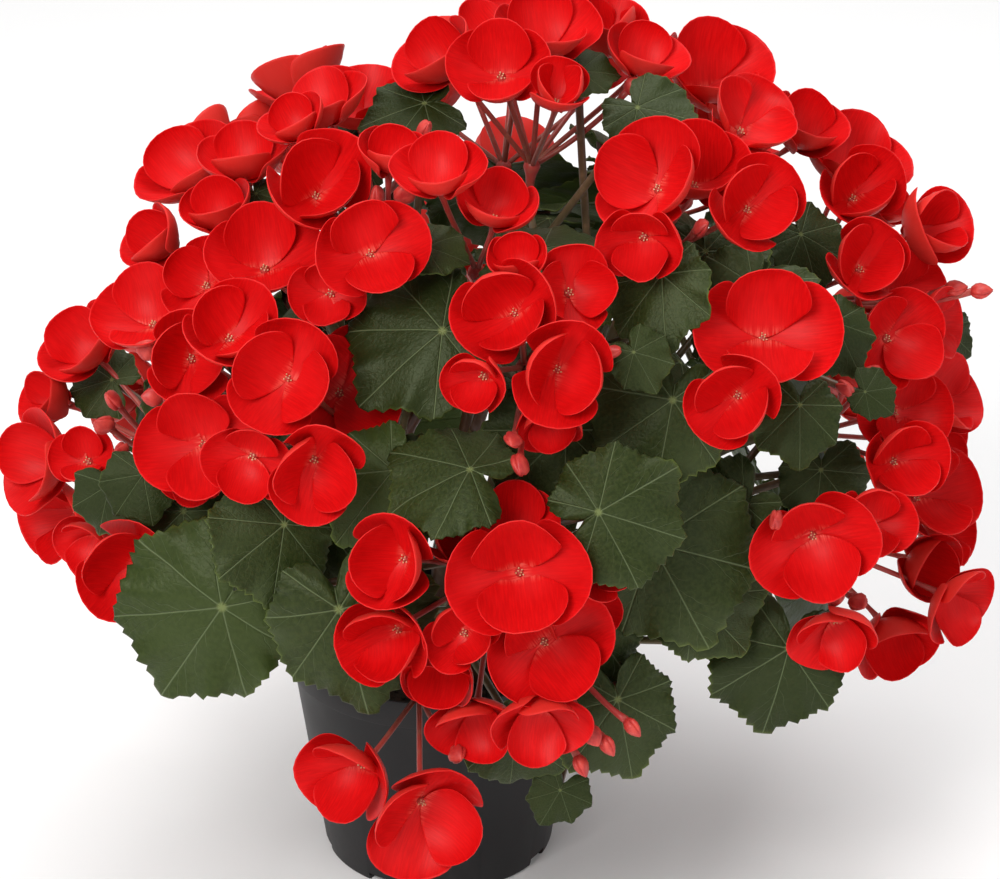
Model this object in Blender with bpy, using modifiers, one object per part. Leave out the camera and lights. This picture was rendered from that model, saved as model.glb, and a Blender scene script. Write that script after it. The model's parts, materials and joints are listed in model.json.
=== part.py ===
"""Potted begonia in full flower: a nursery pot, its soil, leafy stems and heads of red flowers.

Metres, +Z up. The origin is on the surface that the pot stands on, under the pot's middle.
The viewer of the photograph stands towards -Y and looks a little down.

The plant fills a ball above the pot. What the photograph shows is seated by eye: a pixel gives a
line of sight, and the piece sits where that line meets the ball. The far side follows a rule.
Flowers and leaves are set one after another, and each slides along its line of sight until it
crosses nothing that is already there.
"""

import math
import random
from collections import namedtuple

import bmesh
import bpy
from mathutils import Matrix, Vector
from mathutils.bvhtree import BVHTree

MM = 0.001
GAP = 0.3 * MM
WELD = 0.001 * MM

# Pot and soil
POT_HEIGHT = 104 * MM
POT_RIM_R = 66 * MM
POT_WALL_TOP_R = 62.5 * MM
POT_BASE_R = 50 * MM
POT_WALL = 1.6 * MM
RIM_DEPTH = 13 * MM
FLOOR_THICK = 2 * MM
POT_SIDES = 28
NOTCHES = 8
NOTCH_WIDTH = 11 * MM
NOTCH_HEIGHT = 4 * MM
NOTCH_TURN = 15
DRAINS = 4
DRAIN_R = 4 * MM
DRAIN_RING_R = 28 * MM
DRAIN_TURN = 17
SOIL_TOP = 90 * MM
SOIL_CROWN = 4 * MM
HOLE_R = 5.3 * MM
HOLE_TURN = 0.17

# Ball that the flowers sit on
BALL_CENTRE = Vector((27 * MM, 0, 190 * MM))
BALL_R = 180 * MM
HUB_SHARE = 0.76
BLOOM_SUNK = 0.34
BUD_SUNK = 4 * MM

# How the photograph, 1000 by 879 pixels, looks at the plant
VIEW_ELEVATION = math.radians(27)
VIEW_DISTANCE = 1.6
VIEW_TARGET = Vector((27 * MM, 0, 194 * MM))
FRAME_MIDDLE = (500, 439.5)
PER_PIXEL = 0.42 * MM
ACROSS = Vector((1, 0, 0))
UPWARD = Vector((0, math.sin(VIEW_ELEVATION), math.cos(VIEW_ELEVATION)))
TOWARDS = Vector((0, -math.cos(VIEW_ELEVATION), math.sin(VIEW_ELEVATION)))
EYE = VIEW_TARGET + TOWARDS * VIEW_DISTANCE

# Stems: the ring that they rise from, and their thickness
STEM_RING_R = 25 * MM
STEM_SUNK = 20 * MM
STEM_R = 4.2 * MM
BRANCH_R = 2.8 * MM
PEDUNCLE_R = 1.9 * MM
PEDUNCLE_LENGTH = 16 * MM
PEDUNCLE_SIDES = 3
HUB_R = 3.6 * MM
PEDICEL_R = 1.2 * MM
PETIOLE_R = 2 * MM
PETIOLE_FOOT_R = 1.5 * MM
PETIOLE_SIDES = 3
PETIOLE_DEEPER = 10 * MM
FORK_SHARE = 0.42
FORK_RISE = 12 * MM
BEND_RISE = 8 * MM
FIRST_RISE = 3 * MM
RISE_STEPS = 3
STEM_TAPER = (1, 1, 0.92, 0.82, 0.72)
BRANCH_TAPER = (0.75, 1, 0.95, 0.88, 0.85)
BRANCH_SUNK = 2 * MM
BRANCH_BEND = 0.35
BRANCH_LEVEL = 0.3
BRANCH_TIP = 4 * MM

# Flowers: an edge has a few points, as a share of the petal's length and its side
PETAL_EDGES = (
    ((0.28, -1), (0.74, -1), (1, 0), (0.74, 1), (0.28, 1)),
    ((0.4, -1), (0.9, -1), (0.9, 1), (0.4, 1)),
)
PETAL_MIDDLE = 0.5
PETAL_THICK = 1.3 * MM
PETAL_SHARE = 0.8
EYE_RISE = 0.9 * MM
NOTCH_R = 2.4 * MM
NOTCH_RISE = 1.1 * MM
NOTCH_CORNERS = (0, 1, 2, 2)
PEDICEL_TOP_R = 1.6 * MM
BUD_R = 4.5 * MM
BUD_TOP = 1.3
BUD_FOOT = 1.5
BUD_SIDES = 3
OPENING = (-12, 12)
OUTER_LEAN = (80, 24)
INNER_LEAN = (70, 6)
OUTER_WIDTH = 1.3
INNER_WIDTH = 1.15
OUTER_CUP = 54
INNER_CUP = 60

# Search for a clear place
CLEAR = 0.2 * MM
NUDGE = 5 * MM
SLIDE_STEP = 4 * MM
SLIDES_OUT = 2
SLIDES_IN = 9
PETIOLE_TRIES = 30
STUB = 6 * MM
JOINT_CROSSINGS = 16
BLOOM_TURNS = (0, 22, -22, 45)
BLOOM_SHRINKS = (1, 0.9, 0.8)
LEAF_TURNS = (0, 15, -15, 35, -35)
LEAF_SHRINKS = (1, 0.85, 0.7, 0.55)
GUARD = 2 * MM

# Leaves
LEAF_SIDES = 16
LEAF_THICK = 1.6 * MM
TOOTH = 0.06
LEAF_LOP = (0.05, 0.1)
LEAF_DROOP = (0.12, 0.28)
LEAF_WAVE = (0.03, 0.09)

# Stalks under blooms and leaves
STALK_DROP = 0.5 * MM
STALK_FLATTEST = 0.35
ELBOW_DROP = 6 * MM

SEED = 11
GOLDEN_TURN = math.pi * (3 - math.sqrt(5))

Bloom = namedtuple("Bloom", "x y span right up roll")
Head = namedtuple("Head", "stem blooms buds")
Petal = namedtuple("Petal", "turn length width foot tip cup")
Leaf = namedtuple("Leaf", "x y heading size right up inset")
Blade = namedtuple("Blade", "frame size lop droop wave phase")

# Each leafy stem's place on the ring, in degrees from the viewer's side towards +X; None is its middle
STEMS = {
    "front": 0, "front_left": -36, "left": -72, "top_left": -108, "back_left": -144, "back": 180,
    "back_right": 144, "top_right": 108, "right": 72, "front_right": 36, "crown": None,
}

# Heads that the photograph shows. A bloom is its middle in pixels, its width in mm, how far it faces
# right and up in the picture, and the roll of its outer petals in degrees. A bud is a pixel pair.
HEADS = {
    "low_front": Head("front", (
        Bloom(392, 562, 38, -0.35, -0.05, 80), Bloom(386, 640, 36, -0.35, -0.3, 20),
        Bloom(520, 575, 44, 0.0, -0.05, 10), Bloom(602, 558, 30, 0.45, 0.1, 60),
        Bloom(517, 517, 32, 0.1, 0.5, 0), Bloom(455, 530, 32, -0.1, 0.5, 40),
        Bloom(552, 650, 40, 0.15, -0.1, 60), Bloom(438, 678, 34, -0.2, -0.6, 0),
        Bloom(475, 722, 34, -0.1, -0.75, 30), Bloom(540, 718, 34, 0.2, -0.7, -20),
        Bloom(590, 620, 30, 0.5, -0.2, 90), Bloom(462, 635, 32, -0.1, 0.0, 45),
    ), ((592, 735), (607, 745), (632, 727), (581, 765), (604, 600))),
    "low_hanging": Head("front", (
        Bloom(347, 775, 36, -0.5, -0.3, 0), Bloom(425, 812, 44, 0.15, -0.5, 20),
    ), ((455, 770),)),
    "centre": Head("front", (
        Bloom(507, 312, 38, -0.25, 0.0, 30), Bloom(578, 287, 30, 0.2, 0.1, 70),
        Bloom(560, 372, 42, 0.1, -0.1, 90), Bloom(517, 262, 24, -0.1, 0.6, 0),
        Bloom(478, 380, 24, -0.4, -0.3, 0), Bloom(550, 423, 26, 0.0, -0.65, 20),
    ), ((513, 440), (520, 465), (612, 352))),
    "left_low": Head("front_left", (
        Bloom(82, 345, 34, -0.5, 0.45, 30), Bloom(46, 398, 28, -0.8, 0.25, 0),
        Bloom(46, 462, 36, -0.75, 0.0, 60), Bloom(52, 520, 36, -0.7, -0.25, 20),
        Bloom(127, 568, 40, -0.25, -0.2, 60), Bloom(88, 545, 26, -0.5, -0.5, 0),
        Bloom(83, 457, 22, -0.2, 0.3, 0),
    ), ((121, 452), (104, 425), (113, 400))),
    "left_mid": Head("front_left", (
        Bloom(197, 445, 36, -0.15, 0.0, 10), Bloom(188, 490, 22, 0.0, -0.6, 0),
        Bloom(190, 358, 36, 0.05, 0.0, 80), Bloom(143, 310, 36, -0.3, 0.5, 0),
        Bloom(232, 328, 34, 0.1, 0.4, 50),
    ), ((153, 397), (148, 350))),
    "left_inner": Head("front_left", (
        Bloom(285, 378, 42, -0.1, 0.0, 60), Bloom(342, 388, 40, 0.25, 0.1, 30),
        Bloom(248, 465, 36, -0.15, -0.35, 10), Bloom(315, 467, 36, 0.1, -0.4, 70),
    ), ()),
    "upper_left": Head("left", (
        Bloom(187, 165, 36, -0.4, 0.65, 40), Bloom(243, 157, 30, -0.1, 0.8, 0),
        Bloom(155, 240, 30, -0.7, 0.35, 20), Bloom(217, 205, 30, -0.25, 0.7, 0),
        Bloom(262, 250, 40, 0.0, 0.45, 10), Bloom(198, 275, 30, -0.2, 0.35, 60),
    ), ((244, 222),)),
    "upper_left_inner": Head("top_left", (
        Bloom(318, 185, 40, 0.1, 0.3, 50), Bloom(372, 250, 34, 0.1, 0.1, 20),
        Bloom(325, 292, 30, -0.1, 0.0, 0), Bloom(391, 162, 26, 0.15, 0.7, 0),
    ), ((374, 190), (402, 188))),
    "top_left": Head("top_left", (
        Bloom(320, 102, 30, -0.4, 0.75, 0), Bloom(357, 92, 34, 0.0, 0.8, 60),
        Bloom(300, 132, 26, -0.35, 0.65, 20),
    ), ((424, 130),)),
    "crown": Head("crown", (
        Bloom(437, 58, 34, -0.6, 0.5, 0), Bloom(500, 72, 32, -0.1, 0.3, 0),
        Bloom(495, 25, 34, -0.2, 0.85, 60), Bloom(545, 38, 38, 0.1, 0.65, 20),
        Bloom(557, 100, 28, 0.1, 0.6, 90), Bloom(607, 32, 34, 0.1, 0.85, 70),
        Bloom(645, 55, 30, 0.35, 0.65, 0),
    ), ((640, 68),)),
    "top_right": Head("top_right", (
        Bloom(712, 72, 42, 0.3, 0.5, 20), Bloom(752, 117, 34, 0.4, 0.5, 60),
        Bloom(805, 128, 32, 0.4, 0.55, 0),
    ), ()),
    "upper_right_inner": Head("top_right", (
        Bloom(650, 178, 38, -0.3, 0.3, 70), Bloom(697, 168, 36, 0.0, 0.5, 0),
        Bloom(750, 208, 40, 0.2, 0.15, 50), Bloom(642, 240, 28, -0.2, -0.3, 0),
    ), ((706, 222),)),
    "right_upper": Head("right", (
        Bloom(862, 150, 40, 0.35, 0.65, 0), Bloom(856, 195, 36, 0.15, 0.25, 40),
        Bloom(907, 188, 32, 0.6, 0.5, 0), Bloom(866, 262, 34, 0.15, 0.25, 60),
        Bloom(922, 230, 36, 0.7, 0.25, 20), Bloom(905, 290, 38, 0.5, 0.1, 0),
        Bloom(898, 338, 36, 0.3, 0.0, 50), Bloom(938, 322, 28, 0.8, 0.0, 0),
    ), ((955, 288), (962, 297))),
    "right_centre": Head("front_right", (
        Bloom(768, 330, 42, 0.1, 0.2, 0), Bloom(735, 398, 34, -0.2, -0.15, 40),
    ), ((793, 352),)),
    "right_mid": Head("right", (
        Bloom(912, 412, 36, 0.35, 0.0, 0), Bloom(952, 392, 36, 0.75, 0.3, 0),
        Bloom(946, 445, 34, 0.75, -0.1, 40), Bloom(903, 462, 32, 0.3, 0.0, 20),
    ), ((872, 372), (845, 388), (832, 418))),
    "right_low": Head("front_right", (
        Bloom(932, 492, 38, 0.55, 0.2, 20), Bloom(958, 533, 34, 0.8, 0.0, 0),
        Bloom(920, 563, 38, 0.5, -0.2, 60), Bloom(815, 545, 40, 0.0, -0.25, 20),
        Bloom(873, 522, 28, 0.2, 0.1, 0), Bloom(893, 640, 36, 0.35, -0.6, 0),
        Bloom(833, 637, 30, -0.1, -0.7, 40), Bloom(948, 598, 31, 0.7, -0.4, 0),
    ), ((836, 598), (858, 602), (776, 520))),
    "inner_top": Head("top_left", (
        Bloom(440, 183, 30, -0.1, 0.7, 0), Bloom(497, 200, 32, 0.1, 0.65, 0),
    ), ()),
}

# Heads on the far side: stem, degrees round from the viewer, degrees above the level, blooms
FAR_HEADS = {
    "far_left_low": ("back_left", -120, -4, 5), "far_left_high": ("back_left", -138, 36, 4),
    "far_low": ("back", -178, 0, 5), "far_high": ("back", 178, 46, 5),
    "far_right_low": ("back_right", 122, -4, 5), "far_right_high": ("back_right", 138, 36, 4),
}
FAR_SPREAD = 25 * MM
FAR_SPAN = (32, 42)
FAR_LIFT = (-0.2, 0.35)

# Leaves that the photograph shows: where the stalk joins in pixels, which way the tip points in the
# picture in degrees, overall length in mm, how far it faces right and up, how deep it sits in mm
LEAVES = (
    Leaf(442, 330, -105, 60, -0.1, 0.3, 10), Leaf(425, 243, -20, 44, 0.0, 0.6, 6),
    Leaf(545, 240, -15, 62, 0.1, 0.82, 10), Leaf(470, 470, 190, 60, -0.1, 0.6, 14),
    Leaf(178, 512, -45, 46, -0.1, -0.1, 8), Leaf(222, 607, -125, 68, -0.15, -0.25, 8),
    Leaf(285, 525, -95, 50, 0.3, -0.1, 20), Leaf(338, 610, -78, 74, -0.05, -0.25, 10),
    Leaf(598, 512, 30, 50, 0.1, 0.1, 4), Leaf(655, 545, -60, 70, 0.1, -0.05, 14),
    Leaf(698, 600, -45, 50, 0.25, -0.2, 24), Leaf(672, 400, -100, 52, 0.0, 0.0, 22),
    Leaf(755, 283, -110, 50, -0.1, 0.3, 10), Leaf(662, 275, -100, 42, -0.45, 0.2, 12),
    Leaf(800, 405, -90, 34, 0.0, 0.15, 6), Leaf(864, 392, -70, 20, 0.2, 0.2, 4),
    Leaf(748, 505, -98, 44, 0.0, -0.1, 16), Leaf(790, 650, -85, 54, 0.1, -0.2, 12),
    Leaf(958, 325, -75, 34, 0.45, 0.1, 10), Leaf(618, 700, -75, 50, 0.2, -0.25, 18),
    Leaf(424, 102, 195, 40, -0.1, 0.6, 10), Leaf(638, 104, -60, 36, 0.0, 0.5, 6),
    Leaf(580, 70, 10, 24, 0.1, 0.6, 6), Leaf(560, 790, -115, 24, 0.1, -0.3, 18),
    Leaf(515, 735, -50, 42, 0.1, -0.5, 24), Leaf(112, 484, -60, 30, -0.3, 0.0, 8),
    Leaf(145, 474, -80, 30, 0.0, 0.0, 10), Leaf(634, 352, -60, 24, 0.1, 0.2, 2),
    Leaf(835, 322, -60, 32, 0.2, 0.2, 10), Leaf(706, 250, -85, 42, 0.0, 0.2, 30),
    Leaf(256, 194, -60, 24, -0.1, 0.5, 12), Leaf(566, 430, -90, 54, 0.0, 0.0, 36),
    Leaf(590, 622, -85, 58, 0.1, -0.1, 24), Leaf(112, 380, 130, 30, -0.3, 0.3, 18),
    Leaf(350, 135, -150, 36, -0.1, 0.5, 24), Leaf(800, 235, -70, 40, 0.3, 0.3, 22),
    Leaf(392, 470, -115, 62, -0.1, 0.1, 20), Leaf(820, 470, -80, 50, 0.1, 0.0, 34),
)

# Leaves on the far side follow a spiral: how many, between which heights on the ball, their lengths
FAR_LEAVES = 20
FAR_LEAF_TOP = 0.62
FAR_LEAF_BOTTOM = -0.5
FAR_LEAF_SIZE = (62, 84)
FAR_LEAF_INSET = 24 * MM
FAR_LEAF_SWING = 95
FAR_LEAF_STEP = 1.7
FAR_LEAF_LEAN = 0.4


def direction(azimuth, elevation):
    """A unit vector, in degrees round from the viewer's side towards +X and above the level."""
    a = math.radians(azimuth)
    e = math.radians(elevation)
    return Vector((math.sin(a) * math.cos(e), -math.cos(a) * math.cos(e), math.sin(e)))


def facing(right, up):
    """The way something faces that leans this far right and up in the picture."""
    forward = math.sqrt(max(0.0, 1 - right * right - up * up))
    return (ACROSS * right + UPWARD * up + TOWARDS * forward).normalized()


def seat(x, y, inset):
    """Where the line of sight through a pixel meets the ball, this far inside its surface."""
    aim = VIEW_TARGET
    aim = aim + ACROSS * (x - FRAME_MIDDLE[0]) * PER_PIXEL + UPWARD * (FRAME_MIDDLE[1] - y) * PER_PIXEL
    ray = (aim - EYE).normalized()
    nearest = EYE + ray * (BALL_CENTRE - EYE).dot(ray)
    radius = BALL_R - inset
    miss = (nearest - BALL_CENTRE).length
    if miss >= radius:
        return nearest
    return nearest - ray * math.sqrt(radius * radius - miss * miss)


def frame_of(place, normal, guide):
    """A frame at place with +Z along normal and +X as near to guide as it can be."""
    z = normal.normalized()
    x = (guide - z * guide.dot(z)).normalized()
    y = z.cross(x)
    return Matrix((
        (x.x, y.x, z.x, place.x), (x.y, y.y, z.y, place.y), (x.z, y.z, z.z, place.z), (0, 0, 0, 1),
    ))


def petal_outline(along):
    """A petal's half width as a share of its greatest: it is widest past its middle, and its tip is round."""
    return along ** 0.62 * math.sqrt(max(0.0, 1 - along ** 2.6)) / 0.627


def petal_point(petal, along, across, lift):
    """A point of a petal in its bloom's frame: along 0 to 1, across -1 to 1, lifted off its surface."""
    bend = petal.tip - petal.foot
    lean = petal.foot + bend * along
    out = petal.length * (math.cos(petal.foot) - math.cos(lean)) / bend
    height = petal.length * (math.sin(lean) - math.sin(petal.foot)) / bend
    half = petal.width / 2 * petal_outline(along)
    rise = half * (1 - math.cos(petal.cup * across)) / petal.cup + lift
    side = half * math.sin(petal.cup * across) / petal.cup
    point = Vector((out - rise * math.cos(lean), side, height + rise * math.sin(lean)))
    return Matrix.Rotation(petal.turn, 3, "Z") @ point


def leaf_outline(bearing, lop):
    """A begonia leaf's edge from its stalk as a share of its length: lopsided, with a deep notch."""
    body = 0.53 + 0.12 * math.cos(bearing) + lop * math.sin(bearing)
    point = 0.07 * math.exp(-(bearing / 0.25) ** 2)
    notch = 1 - 0.72 * math.exp(-((math.pi - abs(bearing)) / 0.34) ** 2)
    return (body + point) * notch


def leaf_point(blade, bearing, reach, lift):
    """A point of a leaf: bearing from its tip, reach 0 at the stalk to 1 at the edge."""
    radius = blade.size * leaf_outline(bearing, blade.lop) * reach
    fold = blade.wave * math.sin(3 * bearing + blade.phase) - blade.droop
    point = Vector((radius * math.cos(bearing), radius * math.sin(bearing), lift + radius * reach * fold))
    return blade.frame @ point


PLAIN_SKINS = {}


def plain_skin(columns, bands):
    """A ball's skin, with the row and the column of each corner; each kind is made once."""
    if (columns, bands) not in PLAIN_SKINS:
        bm = bmesh.new()
        bmesh.ops.create_uvsphere(bm, u_segments=columns, v_segments=bands, radius=1)
        spots = []
        for vert in bm.verts:
            row = round(math.acos(max(-1.0, min(1.0, vert.co.z))) / math.pi * bands)
            column = round(math.atan2(vert.co.y, vert.co.x) / math.tau * columns) % columns
            spots.append((row, column))
        PLAIN_SKINS[columns, bands] = (bm, spots)
    return PLAIN_SKINS[columns, bands]


def skin(columns, rows):
    """A closed skin over rows of corners, from its top point to its bottom point.

    Each row gives a corner's place for its column.
    """
    plain, spots = plain_skin(columns, len(rows) - 1)
    bm = plain.copy()
    for vert, (row, column) in zip(bm.verts, spots):
        vert.co = rows[row](column)
    return bm


def ring(base, sides, radius, height):
    """Corners on a circle in a frame, this far up its axis."""
    turns = [math.tau * number / sides for number in range(sides)]
    return [base @ Vector((radius * math.cos(turn), radius * math.sin(turn), height)) for turn in turns]


def stalk_rings(top, foot, sides, turn, top_r, foot_r):
    """The rings of corners that a stalk has under a blade's frame, down to its foot.

    Where the stalk would leave the blade too flat, it first runs straight down to an elbow.
    """
    head = top.translation
    side = top.col[0].to_3d()
    down = -top.col[2].to_3d()
    turns = [turn + math.tau * number / sides for number in range(sides)]
    flat = [Vector((math.cos(angle), math.sin(angle), 0)) for angle in turns]
    rings = [[top @ (corner * top_r - Vector((0, 0, STALK_DROP))) for corner in flat]]
    run = foot - head
    if run.normalized().dot(down) < STALK_FLATTEST:
        head = head + down * ELBOW_DROP
        run = foot - head
        bend = frame_of(head, -(run.normalized() + down), side)
        rings.append([bend @ (corner * top_r) for corner in flat])
    end = frame_of(foot, -run, side)
    rings.append([end @ (corner * foot_r) for corner in flat])
    return rings


def bloom_skin(frame, petals, hub):
    """A bloom: one skin over its petals, drawn down into the stalk that holds it to its hub."""
    rings = stalk_rings(frame, hub, 3, petals[0].turn + math.pi / 4, PEDICEL_TOP_R, PEDICEL_R)
    centre = frame @ Vector((0, 0, EYE_RISE))
    columns = []
    for number, petal in enumerate(petals):
        left = NOTCH_CORNERS[number - 1]
        right = NOTCH_CORNERS[number]
        notch_turn = petal.turn - math.pi / 4
        notch = frame @ Vector((NOTCH_R * math.cos(notch_turn), NOTCH_R * math.sin(notch_turn), NOTCH_RISE))
        over = frame @ petal_point(petal, PETAL_MIDDLE, 0, PETAL_THICK / 2)
        under = frame @ petal_point(petal, PETAL_MIDDLE, 0, -PETAL_THICK / 2)
        edge = [frame @ petal_point(petal, along, side, 0) for along, side in PETAL_EDGES[number % 2]]
        columns.append((centre, notch, rings[0][left], left))
        columns.append((centre, edge[0], rings[0][left], left))
        for step, point in enumerate(edge):
            columns.append((over, point, under, left if step < len(edge) / 2 else right))
        columns.append((centre, edge[-1], rings[0][right], right))
    rows = [lambda column: centre]
    rows += [lambda column, part=part: columns[column][part] for part in range(3)]
    rows += [lambda column, corners=corners: corners[columns[column][3]] for corners in rings]
    rows += [lambda column: hub]
    return skin(len(columns), rows)


def leaf_skin(blade, foot):
    """A leaf: one skin over its toothed blade, drawn down into its stalk."""
    rings = stalk_rings(blade.frame, foot, PETIOLE_SIDES, math.pi / PETIOLE_SIDES, PETIOLE_R, PETIOLE_FOOT_R)

    def edge(column):
        turn = math.tau * column / LEAF_SIDES
        bearing = turn if turn <= math.pi else turn - math.tau
        return leaf_point(blade, bearing, 1 + TOOTH * (1 if column % 2 == 0 else -1), 0)

    def corner(column):
        return int(column * PETIOLE_SIDES / LEAF_SIDES)

    rows = [lambda column: leaf_point(blade, 0, 0, LEAF_THICK / 2), edge]
    rows += [lambda column, corners=corners: corners[corner(column)] for corners in rings]
    rows += [lambda column: foot]
    return skin(LEAF_SIDES, rows)


def bud_skin(place, hub):
    """A bud on its stalk."""
    out = (place - hub).normalized()
    frame = frame_of(place, out, ACROSS)
    foot = frame_of(hub, out, ACROSS)
    rings = [
        ring(frame, BUD_SIDES, BUD_R, 0),
        ring(frame, BUD_SIDES, PEDICEL_R, -BUD_FOOT * BUD_R),
        ring(foot, BUD_SIDES, PEDICEL_R, 0),
    ]
    rows = [lambda column: frame @ Vector((0, 0, BUD_TOP * BUD_R))]
    rows += [lambda column, corners=corners: corners[column] for corners in rings]
    rows += [lambda column: hub]
    return skin(BUD_SIDES, rows)


def peduncle_skin(start, hub):
    """The stalk of a head, which swells to the hub where its flowers' stalks meet."""
    base = frame_of(start, hub - start, ACROSS)
    length = (hub - start).length
    rings = [ring(base, PEDUNCLE_SIDES, HUB_R, length), ring(base, PEDUNCLE_SIDES, PEDUNCLE_R, 0)]
    rows = [lambda column: base @ Vector((0, 0, length + HUB_R))]
    rows += [lambda column, corners=corners: corners[column] for corners in rings]
    rows += [lambda column: start]
    return skin(PEDUNCLE_SIDES, rows)


def petals_of(span, roll, rng):
    """The petals of a bloom: two broad outer ones and, across them, two that cup inwards."""
    length = PETAL_SHARE * span * rng.uniform(0.95, 1.05)
    opening = rng.uniform(*OPENING)
    petals = []
    for number in range(4):
        outer = number % 2 == 0
        foot, tip = OUTER_LEAN if outer else INNER_LEAN
        tip += opening + rng.uniform(-6, 6)
        petals.append(Petal(
            turn=math.radians(roll + 90 * number + rng.uniform(-4, 4)),
            length=length,
            width=length * (OUTER_WIDTH if outer else INNER_WIDTH),
            foot=math.radians(foot + opening),
            tip=math.radians(tip),
            cup=math.radians(OUTER_CUP if outer else INNER_CUP),
        ))
    return petals


def bezier(points, share):
    """A point on the curve that these points steer."""
    while len(points) > 1:
        points = [a.lerp(b, share) for a, b in zip(points, points[1:])]
    return points[0]


def tube(points, radii, roundness):
    """A closed tube along points: a curve turned into a mesh."""
    curve = bpy.data.curves.new("tube", "CURVE")
    curve.dimensions = "3D"
    curve.bevel_depth = 1.0
    curve.bevel_resolution = roundness
    curve.use_fill_caps = True
    spline = curve.splines.new("POLY")
    spline.points.add(len(points) - 1)
    for knot, point, radius in zip(spline.points, points, radii):
        knot.co = (*point, 1)
        knot.radius = radius
    helper = bpy.data.objects.new("tube", curve)
    bpy.context.scene.collection.objects.link(helper)
    mesh = bpy.data.meshes.new_from_object(helper.evaluated_get(bpy.context.evaluated_depsgraph_get()))
    bm = bmesh.new()
    bm.from_mesh(mesh)
    bmesh.ops.remove_doubles(bm, verts=bm.verts, dist=WELD)
    bpy.data.objects.remove(helper)
    bpy.data.meshes.remove(mesh)
    bpy.data.curves.remove(curve)
    return bm


def tree_of(bm, swell=0.0, centre=None, radius=0.0):
    """A search tree over a piece, swollen a little, or over its faces that lie close to a point."""
    bm.normal_update()
    bm.verts.index_update()
    places = [vert.co + vert.normal * swell for vert in bm.verts]
    near = [centre is None or (vert.co - centre).length < radius for vert in bm.verts]
    faces = [[vert.index for vert in face.verts] for face in bm.faces]
    return BVHTree.FromPolygons(places, [face for face in faces if all(near[corner] for corner in face)])


def box_of(bm):
    """The lowest and the highest x, y and z of a piece."""
    places = list(zip(*(vert.co for vert in bm.verts)))
    return [min(values) for values in places], [max(values) for values in places]


def apart(low, high, other_low, other_high):
    """Whether two boxes lie clear of each other."""
    return (low[0] > other_high[0] or high[0] < other_low[0] or low[1] > other_high[1]
            or high[1] < other_low[1] or low[2] > other_high[2] or high[2] < other_low[2])


class Garden:
    """What has been set so far, with search trees that find where a new piece would cross it."""

    def __init__(self):
        self.pieces = {}
        self.trees = []

    def crossings(self, node, bm, centre=None, radius=0.0):
        """How often a piece would cross other nodes, and its blade and its whole the rest of its node."""
        whole = tree_of(bm, CLEAR)
        blade = tree_of(bm, 0, centre, radius)
        low, high = box_of(bm)
        others = own = rest = 0
        for owner, other, other_blade, other_low, other_high in self.trees:
            if apart(low, high, other_low, other_high):
                continue
            if owner != node:
                others += len(whole.overlap(other))
            else:
                own += len(blade.overlap(other_blade or other))
                rest += len(whole.overlap(other))
        return others, own, max(0, rest - JOINT_CROSSINGS)

    def add(self, node, bm, centre=None, radius=0.0):
        """Keeps a piece. One with a centre has a blade that lies round it."""
        bmesh.ops.remove_doubles(bm, verts=bm.verts, dist=WELD)
        self.pieces.setdefault(node, []).append(bm)
        blade = tree_of(bm, 0, centre, radius) if centre else None
        self.trees.append((node, tree_of(bm), blade, *box_of(bm)))

    def guard(self, name, bm):
        """Keeps others clear of a shape that isn't a piece itself."""
        self.trees.append((name, tree_of(bm), None, *box_of(bm)))


def tries(turns, shrinks):
    """Ways to move a piece, the least change first: how far it slides back, its turn in degrees, its size."""
    found = []
    for step in range(-SLIDES_OUT, SLIDES_IN + 1):
        for turn in turns:
            for shrink in shrinks:
                cost = abs(step) + 0.1 * (step < 0) + abs(turn) / 12 + 30 * (1 - shrink)
                found.append((cost, step * SLIDE_STEP, turn, shrink))
    return [entry[1:] for entry in sorted(found)]


def bloom_frames():
    """Where every bloom should sit: a dict of head to (stem, frames with spans and rolls, bud places)."""
    found = {}
    for name, head in HEADS.items():
        blooms = []
        for bloom in head.blooms:
            normal = facing(bloom.right, bloom.up)
            centre = seat(bloom.x, bloom.y, 0)
            span = bloom.span * MM
            frame = frame_of(centre - normal * span * BLOOM_SUNK, normal, ACROSS)
            blooms.append((frame, span, bloom.roll, -TOWARDS))
        found[name] = (head.stem, blooms, [seat(x, y, BUD_SUNK) for x, y in head.buds])
    rng = random.Random(SEED)
    for name, (stem, azimuth, elevation, count) in FAR_HEADS.items():
        out = direction(azimuth, elevation)
        patch = frame_of(BALL_CENTRE + out * BALL_R, out, Vector((0, 0, 1)))
        blooms = []
        for number in range(count):
            spread = FAR_SPREAD * math.sqrt(number + 0.2)
            turn = number * GOLDEN_TURN + math.radians(azimuth)
            place = patch @ Vector((spread * math.cos(turn), spread * math.sin(turn), 0))
            normal = (place - BALL_CENTRE).normalized()
            span = rng.uniform(*FAR_SPAN) * MM
            foot = BALL_CENTRE + normal * (BALL_R - span * BLOOM_SUNK)
            lean = (normal + Vector((0, 0, rng.uniform(*FAR_LIFT)))).normalized()
            blooms.append((frame_of(foot, lean, Vector((0, 0, 1))), span, rng.uniform(0, 90), -normal))
        found[name] = (stem, blooms, [])
    return found


def hub_of(blooms):
    """A head's hub: inside the ball, behind the middle of its blooms."""
    middle = sum((frame.translation for frame, *_ in blooms), Vector()) / len(blooms)
    return BALL_CENTRE + (middle - BALL_CENTRE) * HUB_SHARE


def stem_foot(stem):
    """Where a stem comes out of the soil."""
    if STEMS[stem] is None:
        return Vector((0, 0, SOIL_TOP))
    return direction(STEMS[stem], 0) * STEM_RING_R + Vector((0, 0, SOIL_TOP))


def nudges():
    """Small moves of a hub, the least first."""
    steps = (0, 1, -1, 2, -2, 3, -3)
    found = [Vector((x, y, z)) * NUDGE for x in steps for y in steps for z in steps]
    return sorted(found, key=lambda move: move.length)


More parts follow.
